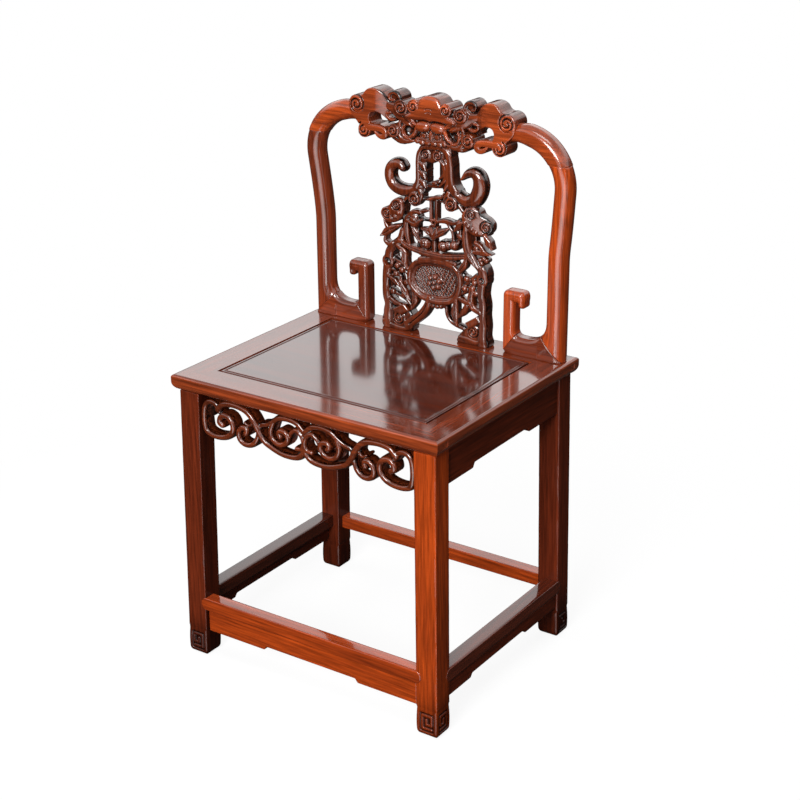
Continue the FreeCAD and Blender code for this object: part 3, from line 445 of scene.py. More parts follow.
# a scroll's dome and the ends of its groove as shares of its radius, and the groove's width and depth
VOLUTE_DOME, VOLUTE_OUTER, VOLUTE_INNER, VOLUTE_STEPS = 0.14, 0.98, 0.2, 34
VOLUTE_WIDE, VOLUTE_DEEP = (0.13, 1.7), (0.1, 2.2)
# how far under its surroundings a place starts to take painted shade, or over them a painted highlight, and the range
# of each
HOLLOW_FROM, HOLLOW_RANGE = 0.1, 1.3
RIDGE_FROM, RIDGE_RANGE = 0.5, 2
# the same for the painted shade on the sides of the board behind its face, and the most of it
SIDE_FROM, SIDE_RANGE, SIDE_SHADE = 2, 9, 0.75
AROUND = 4.0


class Relief:
    """A carved board. Heights stand out from its front face towards the viewer, and deep is its usual thickness."""

    def __init__(self, low, high, deep):
        self.deep = deep
        self.low = np.array(low, float) - PAD
        counts = np.ceil((np.array(high, float) + PAD - self.low) / STEP).astype(int)
        self.x = (self.low[0] + STEP * np.arange(counts[0]))[:, None]
        self.z = (self.low[1] + STEP * np.arange(counts[1]))[None, :]
        self.out = np.full(counts, FAR)
        self.top = np.full(counts, -FAR)
        self.under = np.full(counts, FAR)
        self.side = 1

    def window(self, low, high):
        """The cells between two corners."""
        cells = []
        for k in range(2):
            first = int(np.clip((low[k] - self.low[k]) / STEP, 0, self.out.shape[k] - 2))
            last = int(np.clip((high[k] - self.low[k]) / STEP + 2, first + 1, self.out.shape[k]))
            cells.append(slice(first, last))
        return tuple(cells)

    def placed(self, points):
        """Points on the side of the board that is being carved."""
        return np.array(points, float) * (self.side, 1)

    def add(self, where, away, height, back):
        """Joins a shape to the board, given its distance outside, front height and back height."""
        near = away < FRINGE
        self.out[where] = np.minimum(self.out[where], away)
        self.top[where] = np.where(near, np.maximum(self.top[where], height), self.top[where])
        self.under[where] = np.where(near, np.minimum(self.under[where], back), self.under[where])

    def run(self, line, half, level):
        """Along a line of changing half width: the distance outside it, the level, and the round of its section."""
        pad = half.max() + PAD + STEP
        where = self.window(line.min(0) - pad, line.max(0) + pad)
        x, z = self.x[where[0]], self.z[:, where[1]]
        away = np.full((x.shape[0], z.shape[1]), FAR)
        base = np.full(away.shape, -FAR)
        curve = np.zeros(away.shape)
        for k in range(len(line) - 1):
            a, b = line[k], line[k + 1]
            reach = max(half[k], half[k + 1]) + PAD
            near = self.window(np.minimum(a, b) - reach, np.maximum(a, b) + reach)
            cell = tuple(slice(n.start - w.start, n.stop - w.start) for n, w in zip(near, where))
            px, pz = x[cell[0]], z[:, cell[1]]
            e = b - a
            t = np.clip(((px - a[0]) * e[0] + (pz - a[1]) * e[1]) / max(e @ e, 1e-9), 0, 1)
            wide = half[k] + t * (half[k + 1] - half[k])
            off = np.hypot(px - a[0] - t * e[0], pz - a[1] - t * e[1])
            closer = off - wide < away[cell]
            away[cell] = np.where(closer, off - wide, away[cell])
            base[cell] = np.where(closer, level[k] + t * (level[k + 1] - level[k]), base[cell])
            curve[cell] = np.where(closer, np.sqrt(np.maximum(1 - (off / wide) ** 2, 0)), curve[cell])
        return where, away, base, curve

    def along(self, points, widths, level, curved):
        """As run, with the widths and levels spread evenly along the line."""
        line = self.placed(points)
        line = smooth(line) if curved else line
        at = np.linspace(0, 1, len(line))
        widths = np.atleast_1d(widths).astype(float)
        levels = np.atleast_1d(level).astype(float)
        half = np.interp(at, np.linspace(0, 1, len(widths)), widths) / 2
        return self.run(line, half, np.interp(at, np.linspace(0, 1, len(levels)), levels))

    def strand(self, points, widths, level, rise, deep=None, curved=True):
        """A band with a rounded front along a curve."""
        where, away, base, curve = self.along(points, widths, level, curved)
        self.add(where, away, base + rise * curve, -self.deep if deep is None else base - deep)

    def leaf(self, points, widths, level, rise, deep, vein, width=2):
        """A strand with a groove as its vein."""
        self.strand(points, widths, level, rise, deep)
        self.groove(vein, width, width)

    def tube(self, points, widths, level, thick):
        """A strand of oval section, with its foremost point at its level."""
        where, away, base, curve = self.along(points, widths, level, True)
        middle = base - thick / 2
        self.add(where, away, middle + thick / 2 * curve, middle - thick / 2 * curve)

    def oval(self, x, z, wide, high, level, dome, turn=0.0, deep=None):
        """A domed oval, its half sizes given."""
        x = x * self.side
        turn = math.radians(turn) * self.side
        pad = max(wide, high) + PAD + STEP
        where = self.window((x - pad, z - pad), (x + pad, z + pad))
        dx, dz = self.x[where[0]] - x, self.z[:, where[1]] - z
        u = dx * math.cos(turn) + dz * math.sin(turn)
        v = dz * math.cos(turn) - dx * math.sin(turn)
        ratio = np.hypot(u / wide, v / high)
        away = (ratio - 1) * min(wide, high)
        height = level + dome * np.sqrt(np.maximum(1 - ratio**2, 0))
        self.add(where, away, height, -self.deep if deep is None else level - deep)

    def plate(self, points, level, dome=0.0, soft=8.0, deep=None, curved=True):
        """A flat or cushioned panel inside an outline."""
        loop = self.placed(points)
        loop = smooth_loop(loop) if curved else loop
        where = self.window(loop.min(0) - PAD - STEP, loop.max(0) + PAD + STEP)
        away = outline_distance(self.x[where[0]], self.z[:, where[1]], loop)
        inward = np.clip(-away / soft, 0, 1)
        height = level + dome * np.sqrt(1 - (1 - inward) ** 2)
        self.add(where, away, height, -self.deep if deep is None else level - deep)

    def groove(self, points, width, depth, curved=True):
        """A round-bottomed line cut into the front."""
        where, away, _, _ = self.along(points, width, 0, curved)
        ratio = np.clip((away + width / 2) / (width / 2), 0, 1)
        self.top[where] -= depth * (1 - ratio**2)

    def volute(self, x, z, radius, start, turns=1.9, hand=1, level=0.0, deep=None):
        """A scroll end: a disc with a groove that winds round into its middle."""
        self.oval(x, z, radius, radius, level, VOLUTE_DOME * radius, deep=deep)
        t = np.linspace(0, 1, int(VOLUTE_STEPS * turns))
        angle = math.radians(start) + hand * 2 * math.pi * turns * t
        reach = radius * (VOLUTE_OUTER * (1 - t) + VOLUTE_INNER * t)
        points = np.stack([x + reach * np.cos(angle), z + reach * np.sin(angle)], 1)
        width, depth = (share * radius + least for share, least in (VOLUTE_WIDE, VOLUTE_DEEP))
        self.groove(points, width, depth, curved=False)

    def sink(self, x, z, wide, high, depth):
        """A rounded hollow in the front."""
        x = x * self.side
        where = self.window((x - wide, z - high), (x + wide, z + high))
        ratio = np.hypot((self.x[where[0]] - x) / wide, (self.z[:, where[1]] - z) / high)
        self.top[where] -= depth * np.sqrt(np.maximum(1 - ratio**2, 0))

    def tilt(self, points, start, fall, ease=0.0):
        """Lets the front fall away inside an outline from a place along it, by up to so much for each millimetre.

        It falls outwards from the middle of the board, or towards the middle where the fall is below zero, and starts
        the more gently the larger the ease."""
        inside = outline_distance(self.x, self.z, smooth_loop(self.placed(points))) < 2
        beyond = np.maximum((self.side * self.x - start) * np.sign(fall), 0)
        self.top = np.where(inside, self.top - abs(fall) * beyond**2 / (beyond + ease + 1e-9), self.top)

    def pierce(self, points):
        """A hole right through."""
        loop = smooth_loop(self.placed(points))
        self.out = np.maximum(self.out, -outline_distance(self.x, self.z, loop))

    def keep_between(self, low, high):
        """Trims the board at two heights."""
        self.out = np.maximum(self.out, between(self.z, low, high))

    def made(self, front, edge=CARVED_EDGE, most=CARVED_MOST):
        """The board as one shape, its flat face at front, and its painted shade and painted highlights at each point.
        """
        inward = np.clip(-self.out / edge, 0, 1)
        drop = edge * (1 - np.sqrt(1 - (1 - inward) ** 2))
        face = front - self.top + drop
        back = front - np.where(self.out < STEP, self.under, -self.deep) - drop
        margin = MARGIN * STEP
        start = front - self.top.max() - margin
        y = start + STEP * np.arange(int((back.max() + margin - start) / STEP) + 1)
        y = y[None, :, None]
        field = np.maximum(self.out[:, None, :], np.maximum(face[:, None, :] - y, y - back[:, None, :]))
        low = np.array((self.low[0], start, self.low[1]))
        points, faces = thinned(*surface(field, low, STEP), most)
        inside = self.out < 0
        # painted shade in hollows and painted highlights on ridges, by each place's height against its surroundings
        above = self.top - spread(np.where(inside, self.top, self.top[inside].mean()))
        shade_and_highlight = np.clip((-above - HOLLOW_FROM) / HOLLOW_RANGE, 0, 1)
        shade_and_highlight -= RIDGE_HIGHLIGHT * np.clip((above - RIDGE_FROM) / RIDGE_RANGE, 0, 1)
        cells = np.rint((points[:, ::2] - self.low) / STEP).astype(int)
        i, j = np.clip(cells, 0, np.array(self.out.shape) - 1).T
        y = points[:, 1]
        # painted shade on the sides of the board behind its face
        shade_behind = np.clip((y - face[i, j] - SIDE_FROM) / SIDE_RANGE, 0, SIDE_SHADE)
        recess = np.where(y < face[i, j] + FRINGE, shade_and_highlight[i, j], np.where(y > back[i, j] - FRINGE, 0, shade_behind))
        return [(points, faces)], recess


def spread(values):
    """Values of a carving averaged over their neighbourhood."""
    count = max(int(AROUND / STEP), 1)
    for axis in (0, 0, 1, 1):
        size = values.shape[axis]
        before = np.repeat(np.take(values, [0], axis), count, axis)
        after = np.repeat(np.take(values, [-1], axis), count + 1, axis)
        total = np.cumsum(np.concatenate([before, values, after], axis), axis)
        ahead = np.take(total, np.arange(size) + 2 * count, axis)
        values = (ahead - np.take(total, np.arange(size), axis)) / (2 * count)
    return values


# Back posts and shoulders
POST_X, POST_STRAIGHT = 227, 60
ARCH = [(POST_X, SEAT), (POST_X, SEAT + 175), (246, SEAT + 363), (110, SEAT + 363)]
ARCH_BENDS = (250, 77)
ARCH_HALF, ARCH_ROUND, ARCH_PROUD = 16.8, 16.4, 1.8
POST_FRONT, POST_BACK = (corner[1] for corner in span("back_post_left"))
CREST_FRONT, JOINT = span("crest_rail")[0][1:]
# the posts lean forward between these heights to meet the face of the crest
LEAN, LEAN_FROM, LEAN_TO = POST_FRONT - CREST_FRONT, SEAT + 190, SEAT + 350
CREST_DEEP, CREST_MOST, BROW_PLAIN = 36, 105000, 0.85
SHOULDER_STEP, SHOULDER_END, OVERLAP = 1.0, 120, 0.6
# the shoulder thins by this much towards the crest
NECK_THIN, NECK_FROM, NECK_TO, NECK_ROUND = 2.2, 152, 178, ARCH_ROUND - 2.5


def arch_depth(y, z):
    """Distance outside the front and back of the posts."""
    return between(y + LEAN * eased(z, LEAN_FROM, LEAN_TO), POST_FRONT - ARCH_PROUD, POST_BACK + ARCH_PROUD)


def make_shoulder(side):
    """The bent bar from the post to the crest, which is a little thinner where it meets the crest."""
    low, high = sorted((side * (SHOULDER_END - 2), side * 256))
    x, y, z, start = grid_over((low, POST_FRONT - LEAN, JOINT), (high, POST_BACK, SEAT + 380), SHOULDER_STEP)
    across = line_distance(side * x, z, bent_line(ARCH, ARCH_BENDS)) - ARCH_HALF
    thinner = NECK_THIN * (1 - eased(side * x, NECK_FROM, NECK_TO))
    bar = rounded(across + thinner, arch_depth(y, z) + thinner, NECK_ROUND)
    bar = np.maximum(np.maximum(bar, JOINT - OVERLAP - z), SHOULDER_END - side * x)
    return surface(bar, start, SHOULDER_STEP, 0)


def carve_crest():
    """Crest board and both shoulders, with the painted shade and highlights and how plain each point is."""
    board = Relief((-164, JOINT - 2), (164, SEAT + 408), CREST_DEEP)
    # ground that the carving stands on
    board.plate([(-62, 858), (-58, 882), (-30, 890), (0, 892), (30, 890), (58, 882), (62, 858), (60, 834), (30, 828),
                 (0, 830), (-30, 828), (-60, 834)], -5)
    for _, side in SIDES:
        board.side = side
        # plain cloud body beside the shoulder, with its see-through hollow
        cloud = [(86, 891), (92, 899), (102, 904.5), (114, 906), (124, 902), (131, 894), (146, 888), (157, 876),
                 (154, 860), (143, 849), (135, 840), (122, 838), (110, 843), (96, 846), (84, 851), (74, 856), (67, 864),
                 (69, 874), (78, 884)]
        board.plate(cloud, -0.5, 1.5, 4)
        board.tilt(cloud, 114, -0.56, 40)
        board.pierce([(118.5, 857), (114, 866), (103, 867.5), (94, 863), (85, 854), (90, 847), (104, 845.5),
                      (115, 847)])
        board.volute(142, 877, 15.5, 80, 1.9, 1, 0.8)
        board.volute(128.5, 836.5, 13, 60, 1.7, -1, 0.6)
        # strand under the hollow and its curl
        board.strand([(124, 841), (111, 841.5), (99, 841.5), (90, 838.5), (87, 832.5), (92, 828.5), (100, 830),
                      (106, 835)], [13, 12, 12, 12, 11.5, 10.5, 8.5, 5], -1, 3)
        board.volute(71, 841.5, 10.5, 0, 1.5, 1, 1.5)
        board.strand([(82, 838), (72, 831), (62, 826)], [7, 9, 9], -4, 3)
        board.oval(55, 826, 9, 6.5, -4, 4)
        # curled leaf that overhangs the inner scrolls
        board.plate([(59, 885), (58, 894), (62, 901), (70, 905), (79, 903), (85, 896), (81, 889), (73, 884),
                     (65, 881)], -9, 2, 5)
        board.strand([(62, 884), (61, 893), (66, 900), (75, 902), (82, 897), (80, 890), (74, 889)],
                     [4, 5, 6, 6, 5, 4, 3], -6.5, 2.5)
        board.strand([(62, 890), (69, 884), (72, 877), (67, 869), (68, 860), (76, 856.5), (85, 860), (86, 867),
                      (79, 869)], [3, 4.5, 5, 5, 5, 5, 4, 3], (-5, -6, -8, -8, -7, -6, -5), 2.2)
        # scrolls beside the forehead
        board.volute(56, 879.5, 11.5, 20, 1.6, 1, 0.5)
        board.volute(30, 886, 10.5, 160, 1.5, -1, 4)
        board.strand([(36, 886), (40, 879), (42, 872), (38, 868)], [7, 8, 7, 4], -3, 2)
        board.strand([(62, 872), (56, 866), (48, 864), (42, 866)], [7, 7, 6, 5], -3, 2)
        # plump leaf from the cloud body down to the cheek
        board.strand([(86, 880), (70, 875), (58, 867), (46, 859), (37, 852)], [14, 19, 20, 16, 6],
                     (-9, -7, -5, -4, -3), 4)
        # ear: a hollow with a thin ridge round its outer side, and the feather above it
        board.oval(43, 843, 12, 12.5, -5, 0)
        board.sink(39, 843, 13, 11, 6)
        board.strand([(51, 852), (54, 844), (50, 834), (38, 830.5)], [2.5, 5, 5.5, 3], -2.5, 2.5)
        board.strand([(62, 838), (56, 829.5), (46, 826.5), (33, 829)], [6, 9, 8, 5], -3.5, 3.5)
        board.strand([(29, 857), (36, 862), (46, 865)], [3, 7, 2], 0.5, 2)
        board.groove([(31, 858), (44, 864)], 1.6, 1.4)
        board.strand([(58, 860), (61, 851), (58, 842), (62, 834)], [5, 8, 8, 5], -4, 3)
        # cheek
        board.oval(14.4, 854.5, 14, 8.6, -1, 6, -6)
        board.strand([(27, 853), (28, 846), (33, 838), (40, 834)], [4, 5, 5, 3], -1, 2)
        # petalled eye
        eye = np.array((12.5, 840))
        board.oval(*eye, 9.5, 8.4, -4.5, 4)
        turn = np.linspace(0, 2 * math.pi, 25)
        board.groove(eye + (5, 4.6) * np.stack([np.cos(turn), np.sin(turn)], 1), 2, 2.4, curved=False)
        for angle in 2 * math.pi * np.arange(7) / 7:
            spoke = np.array((math.cos(angle), math.sin(angle)))
            board.groove([eye + 5.5 * spoke, eye + 9.5 * spoke], 1.5, 2, curved=False)
        # scalloped lip
        for x, z, wide in ((6, 828.5, 6.5), (17, 828, 6), (26, 830, 5)):
            board.oval(x, z, wide, 5, -3, 3.5)
    # brow with two lines on the forehead, the nose and the mouth
    board.side = 1
    brow = [(9, 904), (16.5, 900), (21.5, 893), (25, 885.5), (31, 879.5), (39, 874.5), (47, 870), (48, 865.5),
            (40, 863), (28, 864.5), (16, 866), (6, 866)]
    board.plate([(0, 905), *brow, (0, 864.5), *((-x, z) for x, z in brow[::-1])], 0, 5, 12)
    for z, half in ((883, 6.5), (877.5, 5)):
        board.groove([(-half, z), (-0.7 * half, z + 1.8), (0, z + 2.4), (0.7 * half, z + 1.8), (half, z)], 1.7, 1)
    board.plate([(-4.5, 838), (0, 850), (4.5, 838), (0, 832)], -3, 2.5, 4)
    board.strand([(-26, 834), (-13, 833), (0, 831.5), (13, 833), (26, 834)], [3, 4, 4, 4, 3], -2, 1.5)
    board.keep_between(JOINT - 1, SEAT + 420)
    (carved,), recess = board.made(CREST_FRONT, most=CREST_MOST)
    shoulders = [make_shoulder(side) for _, side in SIDES]
    across, _, up = np.abs(carved[0]).T
    brow = (1 - eased(across, 30, 48)) * eased(up, 843, 850)
    plain = np.maximum(eased(across, 72, 96), BROW_PLAIN * brow)
    count = sum(len(points) for points, _ in shoulders)
    return [carved, *shoulders], np.append(recess, np.zeros(count)), np.append(plain, np.ones(count))


SPLAT_DEEP = 21
# level of the cartouche's field, height of the hatching on it and the spacing of its two sets of lines
FIELD_LEVEL, HATCH_HIGH, SLOPE_SPACING, BRICK_SPACING = -4.2, 2.6, 5.6, 7.5


def carve_splat():
    """The openwork splat, with its painted shade and highlights at each point."""
    board = Relief((-126, SEAT), (126, SEAT + 330), SPLAT_DEEP)
    # arch with a spiral on each side of its head and leaves cut into its legs, and the horns that spring from it
    board.plate([(-30, 800), (-28, 814), (-20, 824), (8, 827), (30, 829), (36, 818), (35, 804), (26, 800), (12, 802),
                 (1, 795), (-10, 796), (-22, 792)], -1.5, 2, 6)
    board.strand([(-20, 806), (-20.5, 790), (-20.5, 774), (-20, 760), (-22, 750)], [19, 19, 18, 18, 16], -2, 2)
    board.strand([(22, 806), (22.5, 790), (23, 774), (25, 762), (30, 754)], [20, 21, 21, 20, 17], -2, 2)
    board.strand([(2, 822), (-15, 819), (-25, 811), (-28.5, 797), (-28.5, 778), (-28.5, 763), (-33, 752)],
                 [9, 9, 9, 8, 8, 9, 11], 0, 3)
    board.strand([(2, 822), (20, 820), (29, 812), (33, 797), (33.5, 778), (36, 764), (42, 753)],
                 [9, 10, 11, 11, 12, 13, 14], 0, 3)
    board.tube([(-25, 754), (-33, 748.5), (-44, 744), (-56, 742), (-69, 743), (-81, 749.5), (-87, 762), (-85.5, 774.5),
                (-77, 783), (-67, 785), (-61, 780)], [17, 18, 20, 22, 23, 23, 22.5, 22, 21, 20, 17], 2, 24)
    board.tube([(31, 762), (36, 756), (43, 749.5), (52, 743), (64, 740), (76.5, 745), (84, 758), (86, 771), (82, 783),
                (73, 788), (63, 785), (54, 776)], [17, 18, 20, 22, 25, 28, 29, 28.5, 25, 20, 14, 6], 2, 26)
    board.volute(-13.5, 808, 8.5, 80, 1.6, 1, 1.5)
    board.volute(10, 809, 9, 100, 1.6, -1, 1.5)
    for z in (789, 775, 761):
        board.strand([(-27, z + 5), (-21, z + 1), (-12, z - 8)], [4, 11, 3], -1, 3.5)
    for points in ([(14, 801), (22, 793), (23, 780), (13, 772)], [(24, 803), (29, 789), (25, 773), (14, 759)],
                   [(28, 784), (30, 769), (22, 752)]):
        board.strand(points, [4, 10, 9, 2.5], -0.5, 3.5)
    board.strand([(-14, 757), (-2, 757), (10, 758), (19, 759)], [6, 7, 7, 6], -3, 2, deep=9)
    board.oval(3.5, 763, 6.5, 4, -2, 3.5, 15, deep=9)
    board.oval(10.5, 766, 5, 3.5, -2, 3, 30, deep=9)
    # scrolls under the horns, the hanging plate and the bars beside it
    board.strand([(-25.5, 745), (-22.5, 738), (-26, 731)], 9, -1, 3, deep=16)
    board.strand([(30, 750), (25, 740), (27, 734)], 9, -1, 3, deep=16)
    board.volute(-34.5, 731, 11.5, 60, 1.6, -1, 2, deep=17)
    board.volute(34.5, 732.5, 12, 120, 1.6, 1, 2, deep=17)
    board.strand([(-24, 731.5), (-2, 735.5), (24, 733.5)], [5, 6, 5], -3, 2, deep=9)
    board.strand([(-9, 734), (5, 739.5), (17, 741.5), (21, 748)], [4, 6, 6, 3], 0, 2.5, deep=9)
    board.plate([(-7, 698), (8, 700), (8, 735), (-7, 733)], -7, 0, curved=False, deep=7)
    for points in ([(-5.4, 698.5), (-5.4, 733)], [(6.6, 700.5), (6.6, 735)], [(-5.4, 699), (6.6, 701)]):
        board.strand(points, 3.8, -1.5, 1.5, curved=False, deep=12)
    board.strand([(-5, 699), (1, 691), (7, 700)], [3, 6, 3], -2, 2, deep=10)
    board.strand([(-26, 698), (-6, 698.5)], 5, -4, 1.5, deep=9)
    board.strand([(7, 699), (24, 702.5), (39, 701), (51, 706)], [5, 9, 8, 6], -2, 2.5, deep=11)
    # cloud heads with berries under them
    board.plate([(-102, 699), (-98, 708), (-88, 711), (-80, 722), (-70, 728.5), (-60, 725), (-57, 712), (-61, 698),
                 (-70, 688), (-83, 685), (-96, 689)], 0.5, 2.5, 6)
    board.volute(-70, 716.5, 9, 200, 1.6, 1, 2.2)
    board.volute(-89.5, 700.5, 9.5, -20, 1.6, -1, 2.2)
    cloud = [(58, 716), (62, 727), (73, 732.5), (86, 729), (91, 721), (103, 715), (110, 706), (106, 693), (95, 686),
             (79, 687), (66, 694), (60, 704)]
    board.plate(cloud, 3, 2.5, 6)
    board.volute(73.5, 720.5, 9.5, 200, 1.7, -1, 4.5)
    board.volute(98.5, 702, 11.5, 20, 1.8, 1, 4.5)
    for x, z in ((-80, 692.5), (-72, 697), (-65, 704), (64.5, 707), (70, 702), (76, 697.5), (83, 693)):
        board.oval(x, z, 3.4, 3.4, 2.5 if x < 0 else 5, 3)
    board.tilt(cloud, 58, 0.22)
    board.tube([(-43, 734), (-51, 731), (-57.5, 725), (-60, 714), (-59, 700), (-59, 684), (-60, 668), (-64, 655)],
               [9, 9, 9, 9, 9, 10, 11, 11], -2, 15)
    board.tube([(45, 735), (53, 725), (62, 716)], [10, 10, 9], -2, 15)
    board.tube([(80, 690), (81, 676), (84, 660)], [8, 9, 9], -2, 13)
    # star leaves outside the trunks
    board.leaf([(-66, 682), (-78, 676), (-88, 670), (-102, 660)], [5, 12, 14, 3], 0.5, 3.5, 12,
               [(-70, 680), (-84, 672), (-98, 663)])
    board.strand([(-84, 671), (-91, 679), (-95, 688)], [6, 8, 4], 0, 3, deep=12)
    board.strand([(-92, 662), (-94, 653), (-87, 647), (-79, 650)], [5, 7, 8, 7], 0, 3, deep=12)
    board.strand([(100, 690), (106, 680), (114, 670)], [6, 13, 4], 1, 3, deep=12)
    board.strand([(80, 660), (97, 661), (112, 660)], [7, 11, 3], 0.5, 3, deep=12)
    board.strand([(82, 676), (92, 670), (100, 662)], [5, 9, 6], 0, 3, deep=12)
    board.oval(83.5, 666, 5, 5, 0, 3)
    for x, z in ((91, 648.5), (98, 652), (94, 643), (103, 649)):
        board.oval(x, z, 4.4, 4.4, -1, 4, deep=11)
    # trunks with their knots
    board.strand([(-60, 674), (-65, 658), (-77, 646), (-86, 634), (-89, 618), (-93, 597), (-94.5, 577), (-93.5, 558),
                  (-89, 541), (-92, 525), (-90, 499)], [12, 15, 17, 18, 19, 17, 15.5, 16.5, 18, 17, 20],
                 [-4, -4, -3, -4, -4, -3, -4, -4], 6)
    board.strand([(68, 668), (79, 645), (92, 633), (96.5, 621), (94, 605), (93, 588), (96, 571), (95.5, 553), (97, 536),
                  (96, 518), (97, 499)], [10, 13, 17, 19, 17, 15.5, 16, 16, 17, 17, 20], [-4, -4, -3, -4, -3, -4], 6)
    board.oval(-89, 617, 12, 12.5, -1, 4)
    board.sink(-89, 617, 7, 7.5, 10)
    board.oval(95, 614, 11, 11.5, -1, 4)
    board.sink(95, 614, 5.5, 6, 7)
    board.leaf([(64, 700), (64, 678), (68, 659), (78, 645), (89, 635)], [7, 13, 15, 14, 7], 1, 3.5, 19,
               [(64.5, 692), (65, 678), (69, 659), (85, 638)], 2.4)
    # bud, leaves and stems on the left
    board.oval(-37, 699, 11.5, 10.5, -4, 8, deep=13)
    board.strand([(-50, 699), (-37, 709.5), (-22, 710)], [5, 9, 3], 0, 3, deep=12)
    board.strand([(-48, 693), (-35, 688.5), (-22, 698)], [5, 9, 3], 0, 3, deep=12)
    board.groove([(-45, 702), (-36, 700), (-29, 695)], 2, 2)
    board.strand([(-28, 708), (-18, 713.5), (-7, 716)], [5, 8, 3], -1, 3, deep=11)
    board.leaf([(-41, 687), (-33, 672.5), (-25, 660)], [6, 12, 4], -1, 3, 11, [(-40, 685), (-33, 673), (-27, 663)])
    board.leaf([(-51, 697), (-52, 674), (-46, 653)], [8, 12, 7], -1, 3, 12, [(-51, 690), (-52, 674), (-47, 658)])
    board.tube([(-29.5, 690), (-29.5, 672), (-30.5, 650)], [6, 7, 8], -3, 12)
    # plant in the middle, with flame-shaped leaves
    board.tube([(1, 646), (1, 666), (2, 690)], [14, 11, 8], -1, 14)
    for points in ([(2, 671), (-8, 681), (-22, 684.5)], [(3, 672), (16, 682), (29, 690)]):
        board.leaf(points, [6, 12, 2.5], 0.5, 3, 11, points, 1.8)
    board.strand([(1, 674), (-3, 683), (-5, 691)], [7, 8, 2], 1.5, 3, deep=10)
    board.strand([(3, 674), (8, 683), (11, 692)], [7, 8, 2], 1.5, 3, deep=10)
    # looping stems on the right, and the fruit on the tray
    board.tube([(25, 702), (31, 693), (37, 684), (39, 664)], [8, 8, 9, 9], -1, 13)
    board.tube([(50, 707), (51.5, 686), (46, 662)], [9, 9, 8], -1, 13)
    board.strand([(58, 706), (51, 700), (43, 690)], [4, 10, 4], 0.5, 3, deep=11)
    board.strand([(48, 682), (57, 678), (66, 676)], 7, -2, 2.5, deep=11)
    for x, z, radius, level in ((-16, 658.5, 11.5, -8), (27.5, 662, 9, -10), (18, 659, 10.5, -8), (41, 664, 9.5, -7)):
        board.oval(x, z, radius, radius, level, 12, deep=10)
        board.groove([(x - 1, z - radius + 2), (x + 1, z), (x, z + radius - 2)], 1.7, 1.4)
    board.strand([(-64, 656), (-45, 648.5), (-25, 644.5), (0, 642.3), (27, 643), (50, 646.5), (68, 651)],
                 [8, 9.5, 10, 10, 10, 9.5, 8], 1, 2.5, deep=17)
    board.groove([(-58, 655), (-45, 650), (-25, 646), (0, 644), (27, 644.5), (62, 650.5)], 2, 2.2)
    # branches, leaves and buds between the left trunk and the cartouche
    board.leaf([(-68, 648), (-55, 637), (-55, 624), (-48, 611)], [7, 12, 13, 5], 1, 3.5, 13,
               [(-62, 643), (-55.5, 636), (-55, 624), (-50, 614)], 2.2)
    board.tube([(-84, 625), (-62, 616), (-55, 604), (-46, 596)], [9, 9, 9, 8], -1, 14)
    board.tube([(-92, 608), (-68, 597), (-63, 582)], [9, 9, 9], -1, 14)
    board.leaf([(-64, 586), (-55, 569), (-44, 556)], [6, 13, 5], 0.5, 3, 12, [(-63, 583), (-55, 569), (-46, 559)], 2.2)
    board.leaf([(-37, 576), (-35, 557), (-41, 542)], [8, 13, 5], 0.5, 3, 12,
               [(-36.5, 572), (-35.5, 557), (-40, 546)], 2.2)
    board.tube([(-92, 568), (-67, 561), (-51, 553), (-43, 544)], [9, 9, 9, 8], -1, 14)
    board.strand([(-88, 592), (-76, 585), (-64, 577)], [5, 10, 4], 0, 3, deep=12)
    board.strand([(-84, 553), (-75, 547), (-64, 546)], [6, 9, 5], 0, 3, deep=12)
    for x, z in ((-70.5, 612), (-73, 598), (-79, 566), (-61, 606), (-52, 586), (-58, 562)):
        board.oval(x, z, 5.2, 5.2, -1, 4.5, deep=11)
    # the same on the right
    board.tube([(50, 590), (65.5, 604.5), (84, 621)], [8, 8, 8], -1, 13)
    board.tube([(54, 620), (73, 603.5), (90, 596)], [8, 8, 8], -2, 13)
    board.tube([(92, 612), (70.5, 594.5), (54, 584)], [8, 8, 8], 0, 13)
    board.leaf([(50, 620), (62, 636), (66, 650)], [7, 12, 6], 0.5, 3, 12, [(53, 624), (62, 636), (65, 646)])
    board.leaf([(77, 598), (73.5, 577), (79, 565), (92, 559)], [9, 12, 11, 9], 0, 3.5, 14,
               [(76, 594), (74, 577), (80, 566)], 2.2)
    board.tube([(59, 550), (66, 557), (76.5, 562), (88, 558), (92, 548)], [7, 8, 8, 8, 8], -2, 13)
    board.leaf([(47, 573), (44, 551), (48, 530)], [7, 15, 6], 0.5, 3.5, 12, [(46, 567), (44.5, 551), (47, 536)], 2.2)
    board.strand([(66, 566), (58, 552), (51, 544)], [9, 9, 5], 0, 3, deep=12)
    board.strand([(50, 578), (62, 573), (74, 572)], [7, 10, 5], 0, 3, deep=12)
    for x, z in ((75, 596), (81, 608), (66, 612), (62, 595), (84, 590)):
        board.oval(x, z, 5.2, 5.2, -1, 4.5, deep=11)
